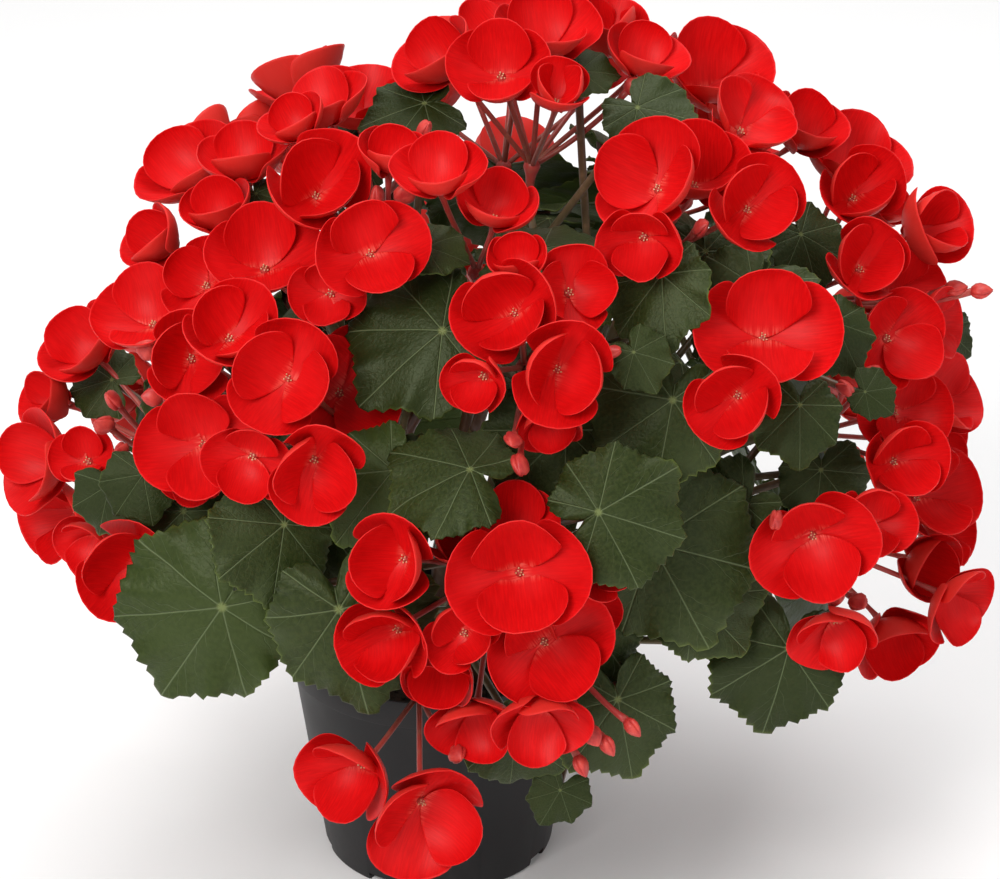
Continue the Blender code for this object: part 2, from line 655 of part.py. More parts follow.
def branch_to(fork, leave, hub):
    """A branch from a stem's fork to the stalk of a head, and that stalk."""
    out = (hub - BALL_CENTRE).normalized()
    end = hub - out * PEDUNCLE_LENGTH
    reach = (end - fork).length
    bend = fork + leave * reach * BRANCH_BEND
    steers = [fork - leave * BRANCH_SUNK, bend, end - out * reach * BRANCH_LEVEL, end]
    path = [bezier(steers, step / RISE_STEPS) for step in range(RISE_STEPS + 1)]
    path.append(end + out * BRANCH_TIP)
    branch = tube(path, [BRANCH_R * share for share in BRANCH_TAPER], 0)
    return branch, peduncle_skin(path[-1] + out * GAP, hub), path[1:-1]


def set_stems(garden, heads):
    """Sets each stem with a branch to each of its heads. Returns the hubs, and where leaves may grow."""
    growth = []
    hubs = {}
    forks = {}
    for stem in STEMS:
        middles = [hub_of(blooms) for owner, blooms, _ in heads.values() if owner == stem]
        foot = stem_foot(stem)
        fork = foot.lerp(sum(middles, Vector()) / len(middles), FORK_SHARE) + Vector((0, 0, FORK_RISE))
        steer = Vector((foot.x, foot.y, (foot.z + fork.z) / 2 + BEND_RISE))
        start = foot + Vector((0, 0, FIRST_RISE))
        rise = [bezier([start, steer, fork], step / RISE_STEPS) for step in range(RISE_STEPS + 1)]
        radii = [STEM_R * share for share in STEM_TAPER]
        garden.add("stem_" + stem, tube([foot - Vector((0, 0, STEM_SUNK))] + rise, radii, 1))
        growth += [(stem, point) for point in rise[1:]]
        forks[stem] = (fork, (fork - rise[-2]).normalized())
    for name, (stem, blooms, _) in heads.items():
        best = None
        for move in nudges():
            hub = hub_of(blooms) + move
            branch, peduncle, path = branch_to(*forks[stem], hub)
            cost = garden.crossings("stem_" + stem, branch)[0]
            cost += garden.crossings("flowers_" + name, peduncle)[0]
            if best is None or cost < best[0]:
                best = (cost, hub, branch, peduncle, path)
            if cost == 0:
                break
        hubs[name] = best[1]
        garden.add("stem_" + stem, best[2])
        garden.add("flowers_" + name, best[3])
        growth += [(stem, point) for point in best[4]]
    return hubs, growth


def set_blooms(garden, heads, hubs):
    """Sets the blooms and buds of every head."""
    ways = tries(BLOOM_TURNS, BLOOM_SHRINKS)
    for name, (_, blooms, buds) in heads.items():
        node = "flowers_" + name
        hub = hubs[name]
        for number, (frame, span, roll, back) in enumerate(blooms):
            best = None
            for slide, turn, shrink in ways:
                petals = petals_of(span * shrink, roll + turn, random.Random(name + str(number)))
                place = Matrix.Translation(back * slide) @ frame
                bm = bloom_skin(place, petals, hub)
                cost = garden.crossings(node, bm, place.translation, span)[:2]
                if best is None or cost < best[0]:
                    best = (cost, bm, place.translation)
                if sum(cost) == 0:
                    break
            garden.add(node, best[1], best[2], span)
        for bud in buds:
            best = None
            for slide, _, _ in tries((0,), (1,)):
                place = bud + (BALL_CENTRE - bud).normalized() * slide
                bm = bud_skin(place, hub)
                cost = garden.crossings(node, bm, place, 3 * BUD_R)[:2]
                if best is None or cost < best[0]:
                    best = (cost, bm, place)
                if sum(cost) == 0:
                    break
            garden.add(node, best[1], best[2], 3 * BUD_R)


def leaf_blades():
    """Where every leaf should sit: blades with the way that each may slide."""
    rng = random.Random(SEED + 1)
    blades = []
    for leaf in LEAVES:
        normal = facing(leaf.right, leaf.up)
        heading = math.radians(leaf.heading)
        tip = ACROSS * math.cos(heading) + UPWARD * math.sin(heading)
        place = seat(leaf.x, leaf.y, leaf.inset * MM)
        frame = frame_of(place, normal, tip)
        blades.append((frame, leaf.size * MM, -TOWARDS))
    height_step = (FAR_LEAF_TOP - FAR_LEAF_BOTTOM) / FAR_LEAVES
    for number in range(FAR_LEAVES):
        height = FAR_LEAF_TOP - height_step * (number + 0.5)
        azimuth = 180 + FAR_LEAF_SWING * math.sin(number * GOLDEN_TURN * FAR_LEAF_STEP)
        out = direction(azimuth, math.degrees(math.asin(height)))
        place = BALL_CENTRE + out * (BALL_R - FAR_LEAF_INSET)
        lean = [rng.uniform(-FAR_LEAF_LEAN, FAR_LEAF_LEAN) for _ in range(2)]
        tip = Vector((*lean, -1))
        blades.append((frame_of(place, out, tip), rng.uniform(*FAR_LEAF_SIZE) * MM, -out))
    found = []
    for frame, size, back in blades:
        lop = rng.choice((-1, 1)) * rng.uniform(*LEAF_LOP)
        droop = rng.uniform(*LEAF_DROOP)
        wave = rng.uniform(*LEAF_WAVE)
        found.append((Blade(frame, size, lop, droop, wave, rng.uniform(0, math.tau)), back))
    return found


def set_leaves(garden, growth):
    """Sets every leaf with its stalk from the nearest point of a stem that leaves it clear."""
    ways = tries(LEAF_TURNS, LEAF_SHRINKS)
    for blade, back in leaf_blades():
        best = None
        for slide, turn, shrink in ways:
            spin = Matrix.Rotation(math.radians(turn), 4, "Z")
            frame = Matrix.Translation(back * slide) @ blade.frame @ spin
            moved = blade._replace(frame=frame, size=blade.size * shrink)
            foot = frame.translation
            stub = leaf_skin(moved, foot - frame.col[2].to_3d() * STUB)
            others = garden.crossings("", stub, foot, blade.size)[0]
            if best and others > best[0][0]:
                continue
            for stem, point in nearest_growth(growth, foot):
                bm = leaf_skin(moved, point)
                cost = garden.crossings("stem_" + stem, bm, foot, blade.size)
                if best is None or cost < best[0]:
                    best = (cost, bm, stem, foot)
                if sum(cost) == 0:
                    break
            if best[0][:2] == (0, 0):
                break
        if best[0][0] == 0:
            garden.add("stem_" + best[2], best[1], best[3], blade.size)


def nearest_growth(growth, foot):
    """The points of stems from which a leaf's stalk may come, the nearest first."""
    depth = (foot - BALL_CENTRE).length
    inner = [entry for entry in growth if (entry[1] - BALL_CENTRE).length < depth - PETIOLE_DEEPER]
    inner.sort(key=lambda entry: (entry[1] - foot).length)
    return inner[:PETIOLE_TRIES]


def material(name, colour, roughness):
    """A plain surface of one colour."""
    made = bpy.data.materials.new(name)
    made.use_nodes = True
    shader = made.node_tree.nodes["Principled BSDF"]
    shader.inputs["Base Color"].default_value = (*colour, 1)
    shader.inputs["Roughness"].default_value = roughness
    return made


def object_of(name, bm, collection):
    """A mesh object that holds this mesh."""
    mesh = bpy.data.meshes.new(name)
    bmesh.ops.recalc_face_normals(bm, faces=bm.faces)
    bm.to_mesh(mesh)
    made = bpy.data.objects.new(name, mesh)
    collection.objects.link(made)
    return made


def apply_modifiers(made):
    """Puts what the modifiers make into the object's own mesh."""
    evaluated = made.evaluated_get(bpy.context.evaluated_depsgraph_get())
    mesh = bpy.data.meshes.new_from_object(evaluated)
    made.modifiers.clear()
    made.data = mesh


def keep_largest(made):
    """Drops what a union leaves beside the one body: loose scraps and sealed hollows."""
    bm = bmesh.new()
    bm.from_mesh(made.data)
    bm.verts.ensure_lookup_table()
    unseen = set(bm.verts)
    islands = []
    while unseen:
        queue = [unseen.pop()]
        island = set(queue)
        while queue:
            for edge in queue.pop().link_edges:
                for vert in edge.verts:
                    if vert in unseen:
                        unseen.discard(vert)
                        island.add(vert)
                        queue.append(vert)
        islands.append(island)
    biggest = max(islands, key=len)
    bmesh.ops.delete(bm, geom=[vert for vert in bm.verts if vert not in biggest], context="VERTS")
    bm.to_mesh(made.data)
    bm.free()


def fuse(name, pieces, collection, surface):
    """Joins a node's pieces in one solid."""
    helpers = bpy.data.collections.new("pieces of " + name)
    bpy.context.scene.collection.children.link(helpers)
    bodies = [object_of("piece", bm, helpers) for bm in pieces]
    base = bodies[0]
    base.name = name
    helpers.objects.unlink(base)
    collection.objects.link(base)
    union = base.modifiers.new("fuse", "BOOLEAN")
    union.operation = "UNION"
    union.operand_type = "COLLECTION"
    union.collection = helpers
    union.solver = "MANIFOLD"
    apply_modifiers(base)
    for helper in list(helpers.objects):
        bpy.data.objects.remove(helper)
    bpy.data.collections.remove(helpers)
    keep_largest(base)
    base.data.materials.clear()
    base.data.materials.append(surface)
    return base


def turned(name, profile, collection, surface):
    """A turned solid from a closed profile of (radius, height), outer side downwards."""
    mesh = bpy.data.meshes.new(name)
    points = [(radius, 0, height) for radius, height in profile]
    mesh.from_pydata(points, [(i, i + 1) for i in range(len(points) - 1)], [])
    made = bpy.data.objects.new(name, mesh)
    collection.objects.link(made)
    screw = made.modifiers.new("turn", "SCREW")
    screw.steps = POT_SIDES
    screw.render_steps = POT_SIDES
    screw.use_merge_vertices = True
    screw.merge_threshold = 0.00001
    mesh.materials.append(surface)
    return made


def cutter(name, bm, cutters):
    """A hidden solid that is cut away from another."""
    made = object_of(name, bm, cutters)
    made.hide_render = True
    made.display_type = "WIRE"
    return made


def cut(target, tool):
    """Cuts one solid out of another."""
    modifier = target.modifiers.new("cut", "BOOLEAN")
    modifier.operation = "DIFFERENCE"
    modifier.object = tool


def pot_inner_radius(height):
    """The inside of the pot's wall at this height."""
    share = height / (POT_HEIGHT - RIM_DEPTH)
    return POT_BASE_R + (POT_WALL_TOP_R - POT_BASE_R) * share - POT_WALL


def build_pot(collection, cutters, surface):
    """The nursery pot: a tapered wall under a collar rim, notches round its base, holes in its floor."""
    shoulder = POT_HEIGHT - RIM_DEPTH
    profile = (
        (0, FLOOR_THICK), (pot_inner_radius(FLOOR_THICK), FLOOR_THICK),
        (pot_inner_radius(shoulder), shoulder), (POT_RIM_R - POT_WALL - 1 * MM, shoulder + 2 * MM),
        (POT_RIM_R - POT_WALL, POT_HEIGHT), (POT_RIM_R, POT_HEIGHT), (POT_RIM_R - 1 * MM, shoulder),
        (POT_WALL_TOP_R, shoulder), (POT_BASE_R, 2 * MM), (POT_BASE_R - 1.5 * MM, 0), (0, 0),
    )
    pot = turned("pot", profile, collection, surface)
    for number in range(NOTCHES):
        out = direction(number * 360 / NOTCHES + NOTCH_TURN, 0)
        notch = bmesh.new()
        size = Matrix.Diagonal((12 * MM, NOTCH_WIDTH, 2 * NOTCH_HEIGHT, 1))
        bmesh.ops.create_cube(notch, size=1, matrix=frame_of(out * POT_BASE_R, Vector((0, 0, 1)), out) @ size)
        cut(pot, cutter("notch", notch, cutters))
    for number in range(DRAINS):
        drain = bmesh.new()
        place = Matrix.Translation(direction(number * 360 / DRAINS + DRAIN_TURN, 0) * DRAIN_RING_R)
        bmesh.ops.create_cone(drain, cap_ends=True, segments=8, radius1=DRAIN_R, radius2=DRAIN_R,
                              depth=4 * FLOOR_THICK, matrix=place)
        cut(pot, cutter("drain", drain, cutters))
    return pot


def build_soil(collection, cutters, surface):
    """The soil: a plug that fills the pot, with a hole for each stem."""
    bottom = FLOOR_THICK + GAP
    edge_top = SOIL_TOP - SOIL_CROWN
    profile = (
        (0, SOIL_TOP), (POT_BASE_R * 0.55, SOIL_TOP), (pot_inner_radius(edge_top) - GAP, edge_top),
        (pot_inner_radius(bottom) - GAP, bottom), (0, bottom),
    )
    soil = turned("soil", profile, collection, surface)
    for stem in STEMS:
        hole = bmesh.new()
        depth = 2 * (STEM_SUNK + GAP)
        place = Matrix.Translation(stem_foot(stem)) @ Matrix.Rotation(HOLE_TURN, 4, "Z")
        bmesh.ops.create_cone(hole, cap_ends=True, segments=6, radius1=HOLE_R, radius2=HOLE_R,
                              depth=depth, matrix=place)
        cut(soil, cutter("hole " + stem, hole, cutters))
    return soil


def pot_guard():
    """A plain cone round the pot that flowers and leaves keep clear of."""
    bm = bmesh.new()
    height = POT_HEIGHT + GUARD
    place = Matrix.Translation((0, 0, height / 2))
    bmesh.ops.create_cone(bm, cap_ends=True, segments=24, radius1=POT_BASE_R + GUARD,
                          radius2=POT_RIM_R + GUARD, depth=height, matrix=place)
    return bm


def grow():
    """Sets the whole plant."""
    garden = Garden()
    heads = bloom_frames()
    hubs, growth = set_stems(garden, heads)
    garden.guard("pot", pot_guard())
    set_blooms(garden, heads, hubs)
    set_leaves(garden, growth)
    return garden


def main():
    for old in list(bpy.data.objects):
        bpy.data.objects.remove(old)
    begonia = bpy.data.collections.new("potted begonia")
    cutters = bpy.data.collections.new("cutters")
    bpy.context.scene.collection.children.link(begonia)
    bpy.context.scene.collection.children.link(cutters)
    plastic = material("pot plastic", (0.022, 0.022, 0.025), 0.5)
    earth = material("soil", (0.05, 0.032, 0.022), 0.95)
    leaf_green = material("leaf", (0.035, 0.085, 0.04), 0.5)
    petal_red = material("petal", (0.72, 0.012, 0.02), 0.5)
    build_pot(begonia, cutters, plastic)
    build_soil(begonia, cutters, earth)
    for node, pieces in grow().pieces.items():
        fuse(node, pieces, begonia, leaf_green if node.startswith("stem_") else petal_red)


main()
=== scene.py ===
"""Looks of the potted begonia: fine petals, leaves, stems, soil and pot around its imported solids.

Metres, +Z up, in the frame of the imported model. The plant's layout repeats the source's own search,
so every fine piece sits where its solid does.
"""

import json
import math
import random
from collections import namedtuple

import bmesh
import bpy
import numpy as np
from mathutils import Matrix, Vector, noise
from mathutils.bvhtree import BVHTree

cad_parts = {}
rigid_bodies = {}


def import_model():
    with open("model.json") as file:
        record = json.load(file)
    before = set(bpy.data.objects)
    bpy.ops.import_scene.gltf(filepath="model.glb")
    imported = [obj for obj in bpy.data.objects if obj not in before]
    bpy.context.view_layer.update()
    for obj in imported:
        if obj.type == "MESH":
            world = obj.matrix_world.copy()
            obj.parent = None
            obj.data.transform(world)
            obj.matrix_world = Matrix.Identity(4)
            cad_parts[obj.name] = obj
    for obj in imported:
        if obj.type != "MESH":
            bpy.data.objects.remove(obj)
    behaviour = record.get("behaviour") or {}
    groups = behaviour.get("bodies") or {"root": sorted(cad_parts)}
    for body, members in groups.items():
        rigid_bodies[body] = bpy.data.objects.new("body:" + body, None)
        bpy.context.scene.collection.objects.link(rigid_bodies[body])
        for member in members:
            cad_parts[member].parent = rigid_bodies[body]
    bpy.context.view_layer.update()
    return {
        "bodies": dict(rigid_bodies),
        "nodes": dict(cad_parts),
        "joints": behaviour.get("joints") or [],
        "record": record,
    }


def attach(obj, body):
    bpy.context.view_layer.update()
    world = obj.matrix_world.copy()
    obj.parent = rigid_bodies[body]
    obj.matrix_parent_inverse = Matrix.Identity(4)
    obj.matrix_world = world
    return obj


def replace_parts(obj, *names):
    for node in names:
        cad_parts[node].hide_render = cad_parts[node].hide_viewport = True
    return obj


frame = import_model()

MM = 0.001
GAP = 0.3 * MM
WELD = 0.001 * MM

# Pot and soil
POT_HEIGHT = 104 * MM
POT_RIM_R = 66 * MM
POT_WALL_TOP_R = 62.5 * MM
POT_BASE_R = 50 * MM
POT_WALL = 1.6 * MM
RIM_DEPTH = 13 * MM
FLOOR_THICK = 2 * MM
NOTCHES = 8
NOTCH_WIDTH = 11 * MM
NOTCH_HEIGHT = 4 * MM
NOTCH_CUT = 12 * MM
NOTCH_TURN = 15
DRAINS = 4
DRAIN_R = 4 * MM
DRAIN_RING_R = 28 * MM
DRAIN_TURN = 17
SOIL_TOP = 90 * MM
SOIL_CROWN = 4 * MM

# Ball that the flowers sit on
BALL_CENTRE = Vector((27 * MM, 0, 190 * MM))
BALL_R = 180 * MM
HUB_SHARE = 0.76
BLOOM_SUNK = 0.34
BUD_SUNK = 4 * MM

# How the photograph, 1000 by 879 pixels, looks at the plant
VIEW_ELEVATION = math.radians(27)
VIEW_DISTANCE = 1.6
VIEW_TARGET = Vector((27 * MM, 0, 194 * MM))
FRAME_MIDDLE = (500, 439.5)
PER_PIXEL = 0.42 * MM
ACROSS = Vector((1, 0, 0))
UPWARD = Vector((0, math.sin(VIEW_ELEVATION), math.cos(VIEW_ELEVATION)))
TOWARDS = Vector((0, -math.cos(VIEW_ELEVATION), math.sin(VIEW_ELEVATION)))
EYE = VIEW_TARGET + TOWARDS * VIEW_DISTANCE

# Stems: the ring that they rise from, and their thickness
STEM_RING_R = 25 * MM
STEM_SUNK = 20 * MM
STEM_R = 4.2 * MM
BRANCH_R = 2.8 * MM
PEDUNCLE_R = 1.9 * MM
PEDUNCLE_LENGTH = 16 * MM
PEDUNCLE_SIDES = 3
HUB_R = 3.6 * MM
PEDICEL_R = 1.2 * MM
PETIOLE_R = 2 * MM
PETIOLE_FOOT_R = 1.5 * MM
PETIOLE_SIDES = 3
PETIOLE_DEEPER = 10 * MM
FORK_SHARE = 0.42
FORK_RISE = 12 * MM
BEND_RISE = 8 * MM
FIRST_RISE = 3 * MM
RISE_STEPS = 3
STEM_TAPER = (1, 1, 0.92, 0.82, 0.72)
BRANCH_TAPER = (0.75, 1, 0.95, 0.88, 0.85)
BRANCH_SUNK = 2 * MM
BRANCH_BEND = 0.35
BRANCH_LEVEL = 0.3
BRANCH_TIP = 4 * MM

# Flowers: an edge has a few points, as a share of the petal's length and its side
PETAL_EDGES = (
    ((0.28, -1), (0.74, -1), (1, 0), (0.74, 1), (0.28, 1)),
    ((0.4, -1), (0.9, -1), (0.9, 1), (0.4, 1)),
)
PETAL_CURVE = (0.62, 2.6, 0.627)
PETAL_MIDDLE = 0.5
PETAL_VARY = (0.95, 1.05)
PETAL_TIP_SWING = (-6, 6)
PETAL_TURN_SWING = (-4, 4)
PETAL_THICK = 1.3 * MM
PETAL_SHARE = 0.8
EYE_RISE = 0.9 * MM
NOTCH_R = 2.4 * MM
NOTCH_RISE = 1.1 * MM
NOTCH_CORNERS = (0, 1, 2, 2)
PEDICEL_TOP_R = 1.6 * MM
BUD_R = 4.5 * MM
BUD_TOP = 1.3
BUD_FOOT = 1.5
BUD_SIDES = 3
OPENING = (-12, 12)
OUTER_LEAN = (80, 24)
INNER_LEAN = (70, 6)
OUTER_WIDTH = 1.3
INNER_WIDTH = 1.15
OUTER_CUP = 54
INNER_CUP = 60

# Search for a clear place
CLEAR = 0.2 * MM
NUDGE = 5 * MM
SLIDE_STEP = 4 * MM
SLIDES_OUT = 2
SLIDES_IN = 9
OUT_COST = 0.1
TURN_COST = 12
SHRINK_COST = 30
PETIOLE_TRIES = 30
STUB = 6 * MM
JOINT_CROSSINGS = 16
BLOOM_TURNS = (0, 22, -22, 45)
BLOOM_SHRINKS = (1, 0.9, 0.8)
LEAF_TURNS = (0, 15, -15, 35, -35)
LEAF_SHRINKS = (1, 0.85, 0.7, 0.55)
GUARD = 2 * MM

# Leaves
LEAF_SIDES = 16
LEAF_BODY = 0.53
LEAF_LONGER = 0.12
LEAF_POINT = 0.07
LEAF_POINT_WIDTH = 0.25
LEAF_NOTCH = 0.72
LEAF_NOTCH_WIDTH = 0.34
LEAF_THICK = 1.6 * MM
TOOTH = 0.06
LEAF_LOP = (0.05, 0.1)
LEAF_DROOP = (0.12, 0.28)
LEAF_WAVE = (0.03, 0.09)

# Stalks under blooms and leaves
STALK_DROP = 0.5 * MM
STALK_FLATTEST = 0.35
ELBOW_DROP = 6 * MM

SEED = 11
GOLDEN_TURN = math.pi * (3 - math.sqrt(5))

Bloom = namedtuple("Bloom", "x y span right up roll")
Head = namedtuple("Head", "stem blooms buds")
Petal = namedtuple("Petal", "turn length width foot tip cup")
Leaf = namedtuple("Leaf", "x y heading size right up inset")
Blade = namedtuple("Blade", "frame size lop droop wave phase")
SetBloom = namedtuple("SetBloom", "node frame petals hub")
SetBud = namedtuple("SetBud", "node place hub")
SetLeaf = namedtuple("SetLeaf", "node blade foot")
Shoot = namedtuple("Shoot", "node start steers end thick thin")
Plant = namedtuple("Plant", "shoots hubs blooms buds leaves")

# Each leafy stem's place on the ring, in degrees from the viewer's side towards +X; None is its middle
STEMS = {
    "front": 0, "front_left": -36, "left": -72, "top_left": -108, "back_left": -144, "back": 180,
    "back_right": 144, "top_right": 108, "right": 72, "front_right": 36, "crown": None,
}

# Heads that the photograph shows. A bloom is its middle in pixels, its width in mm, how far it faces
# right and up in the picture, and the roll of its outer petals in degrees. A bud is a pixel pair.
HEADS = {
    "low_front": Head("front", (
        Bloom(392, 562, 38, -0.35, -0.05, 80), Bloom(386, 640, 36, -0.35, -0.3, 20),
        Bloom(520, 575, 44, 0.0, -0.05, 10), Bloom(602, 558, 30, 0.45, 0.1, 60),
        Bloom(517, 517, 32, 0.1, 0.5, 0), Bloom(455, 530, 32, -0.1, 0.5, 40),
        Bloom(552, 650, 40, 0.15, -0.1, 60), Bloom(438, 678, 34, -0.2, -0.6, 0),
        Bloom(475, 722, 34, -0.1, -0.75, 30), Bloom(540, 718, 34, 0.2, -0.7, -20),
        Bloom(590, 620, 30, 0.5, -0.2, 90), Bloom(462, 635, 32, -0.1, 0.0, 45),
    ), ((592, 735), (607, 745), (632, 727), (581, 765), (604, 600))),
    "low_hanging": Head("front", (
        Bloom(347, 775, 36, -0.5, -0.3, 0), Bloom(425, 812, 44, 0.15, -0.5, 20),
    ), ((455, 770),)),
    "centre": Head("front", (
        Bloom(507, 312, 38, -0.25, 0.0, 30), Bloom(578, 287, 30, 0.2, 0.1, 70),
        Bloom(560, 372, 42, 0.1, -0.1, 90), Bloom(517, 262, 24, -0.1, 0.6, 0),
        Bloom(478, 380, 24, -0.4, -0.3, 0), Bloom(550, 423, 26, 0.0, -0.65, 20),
    ), ((513, 440), (520, 465), (612, 352))),
    "left_low": Head("front_left", (
        Bloom(82, 345, 34, -0.5, 0.45, 30), Bloom(46, 398, 28, -0.8, 0.25, 0),
        Bloom(46, 462, 36, -0.75, 0.0, 60), Bloom(52, 520, 36, -0.7, -0.25, 20),
        Bloom(127, 568, 40, -0.25, -0.2, 60), Bloom(88, 545, 26, -0.5, -0.5, 0),
        Bloom(83, 457, 22, -0.2, 0.3, 0),
    ), ((121, 452), (104, 425), (113, 400))),
    "left_mid": Head("front_left", (
        Bloom(197, 445, 36, -0.15, 0.0, 10), Bloom(188, 490, 22, 0.0, -0.6, 0),
        Bloom(190, 358, 36, 0.05, 0.0, 80), Bloom(143, 310, 36, -0.3, 0.5, 0),
        Bloom(232, 328, 34, 0.1, 0.4, 50),
    ), ((153, 397), (148, 350))),
    "left_inner": Head("front_left", (
        Bloom(285, 378, 42, -0.1, 0.0, 60), Bloom(342, 388, 40, 0.25, 0.1, 30),
        Bloom(248, 465, 36, -0.15, -0.35, 10), Bloom(315, 467, 36, 0.1, -0.4, 70),
    ), ()),
    "upper_left": Head("left", (
        Bloom(187, 165, 36, -0.4, 0.65, 40), Bloom(243, 157, 30, -0.1, 0.8, 0),
        Bloom(155, 240, 30, -0.7, 0.35, 20), Bloom(217, 205, 30, -0.25, 0.7, 0),
        Bloom(262, 250, 40, 0.0, 0.45, 10), Bloom(198, 275, 30, -0.2, 0.35, 60),
    ), ((244, 222),)),
    "upper_left_inner": Head("top_left", (
        Bloom(318, 185, 40, 0.1, 0.3, 50), Bloom(372, 250, 34, 0.1, 0.1, 20),
        Bloom(325, 292, 30, -0.1, 0.0, 0), Bloom(391, 162, 26, 0.15, 0.7, 0),
    ), ((374, 190), (402, 188))),
    "top_left": Head("top_left", (
        Bloom(320, 102, 30, -0.4, 0.75, 0), Bloom(357, 92, 34, 0.0, 0.8, 60),
        Bloom(300, 132, 26, -0.35, 0.65, 20),
    ), ((424, 130),)),
    "crown": Head("crown", (
        Bloom(437, 58, 34, -0.6, 0.5, 0), Bloom(500, 72, 32, -0.1, 0.3, 0),
        Bloom(495, 25, 34, -0.2, 0.85, 60), Bloom(545, 38, 38, 0.1, 0.65, 20),
        Bloom(557, 100, 28, 0.1, 0.6, 90), Bloom(607, 32, 34, 0.1, 0.85, 70),
        Bloom(645, 55, 30, 0.35, 0.65, 0),
    ), ((640, 68),)),
    "top_right": Head("top_right", (
        Bloom(712, 72, 42, 0.3, 0.5, 20), Bloom(752, 117, 34, 0.4, 0.5, 60),
        Bloom(805, 128, 32, 0.4, 0.55, 0),
    ), ()),
    "upper_right_inner": Head("top_right", (
        Bloom(650, 178, 38, -0.3, 0.3, 70), Bloom(697, 168, 36, 0.0, 0.5, 0),
        Bloom(750, 208, 40, 0.2, 0.15, 50), Bloom(642, 240, 28, -0.2, -0.3, 0),
    ), ((706, 222),)),
    "right_upper": Head("right", (
        Bloom(862, 150, 40, 0.35, 0.65, 0), Bloom(856, 195, 36, 0.15, 0.25, 40),
        Bloom(907, 188, 32, 0.6, 0.5, 0), Bloom(866, 262, 34, 0.15, 0.25, 60),
        Bloom(922, 230, 36, 0.7, 0.25, 20), Bloom(905, 290, 38, 0.5, 0.1, 0),
        Bloom(898, 338, 36, 0.3, 0.0, 50), Bloom(938, 322, 28, 0.8, 0.0, 0),
    ), ((955, 288), (962, 297))),
    "right_centre": Head("front_right", (
        Bloom(768, 330, 42, 0.1, 0.2, 0), Bloom(735, 398, 34, -0.2, -0.15, 40),
    ), ((793, 352),)),
    "right_mid": Head("right", (
        Bloom(912, 412, 36, 0.35, 0.0, 0), Bloom(952, 392, 36, 0.75, 0.3, 0),
        Bloom(946, 445, 34, 0.75, -0.1, 40), Bloom(903, 462, 32, 0.3, 0.0, 20),
    ), ((872, 372), (845, 388), (832, 418))),
    "right_low": Head("front_right", (
        Bloom(932, 492, 38, 0.55, 0.2, 20), Bloom(958, 533, 34, 0.8, 0.0, 0),
        Bloom(920, 563, 38, 0.5, -0.2, 60), Bloom(815, 545, 40, 0.0, -0.25, 20),
        Bloom(873, 522, 28, 0.2, 0.1, 0), Bloom(893, 640, 36, 0.35, -0.6, 0),
        Bloom(833, 637, 30, -0.1, -0.7, 40), Bloom(948, 598, 31, 0.7, -0.4, 0),
    ), ((836, 598), (858, 602), (776, 520))),
    "inner_top": Head("top_left", (
        Bloom(440, 183, 30, -0.1, 0.7, 0), Bloom(497, 200, 32, 0.1, 0.65, 0),
    ), ()),
}

# Heads on the far side: stem, degrees round from the viewer, degrees above the level, blooms
FAR_HEADS = {
    "far_left_low": ("back_left", -120, -4, 5), "far_left_high": ("back_left", -138, 36, 4),
    "far_low": ("back", -178, 0, 5), "far_high": ("back", 178, 46, 5),
    "far_right_low": ("back_right", 122, -4, 5), "far_right_high": ("back_right", 138, 36, 4),
}
FAR_SPREAD = 25 * MM
FAR_SPAN = (32, 42)
FAR_LIFT = (-0.2, 0.35)

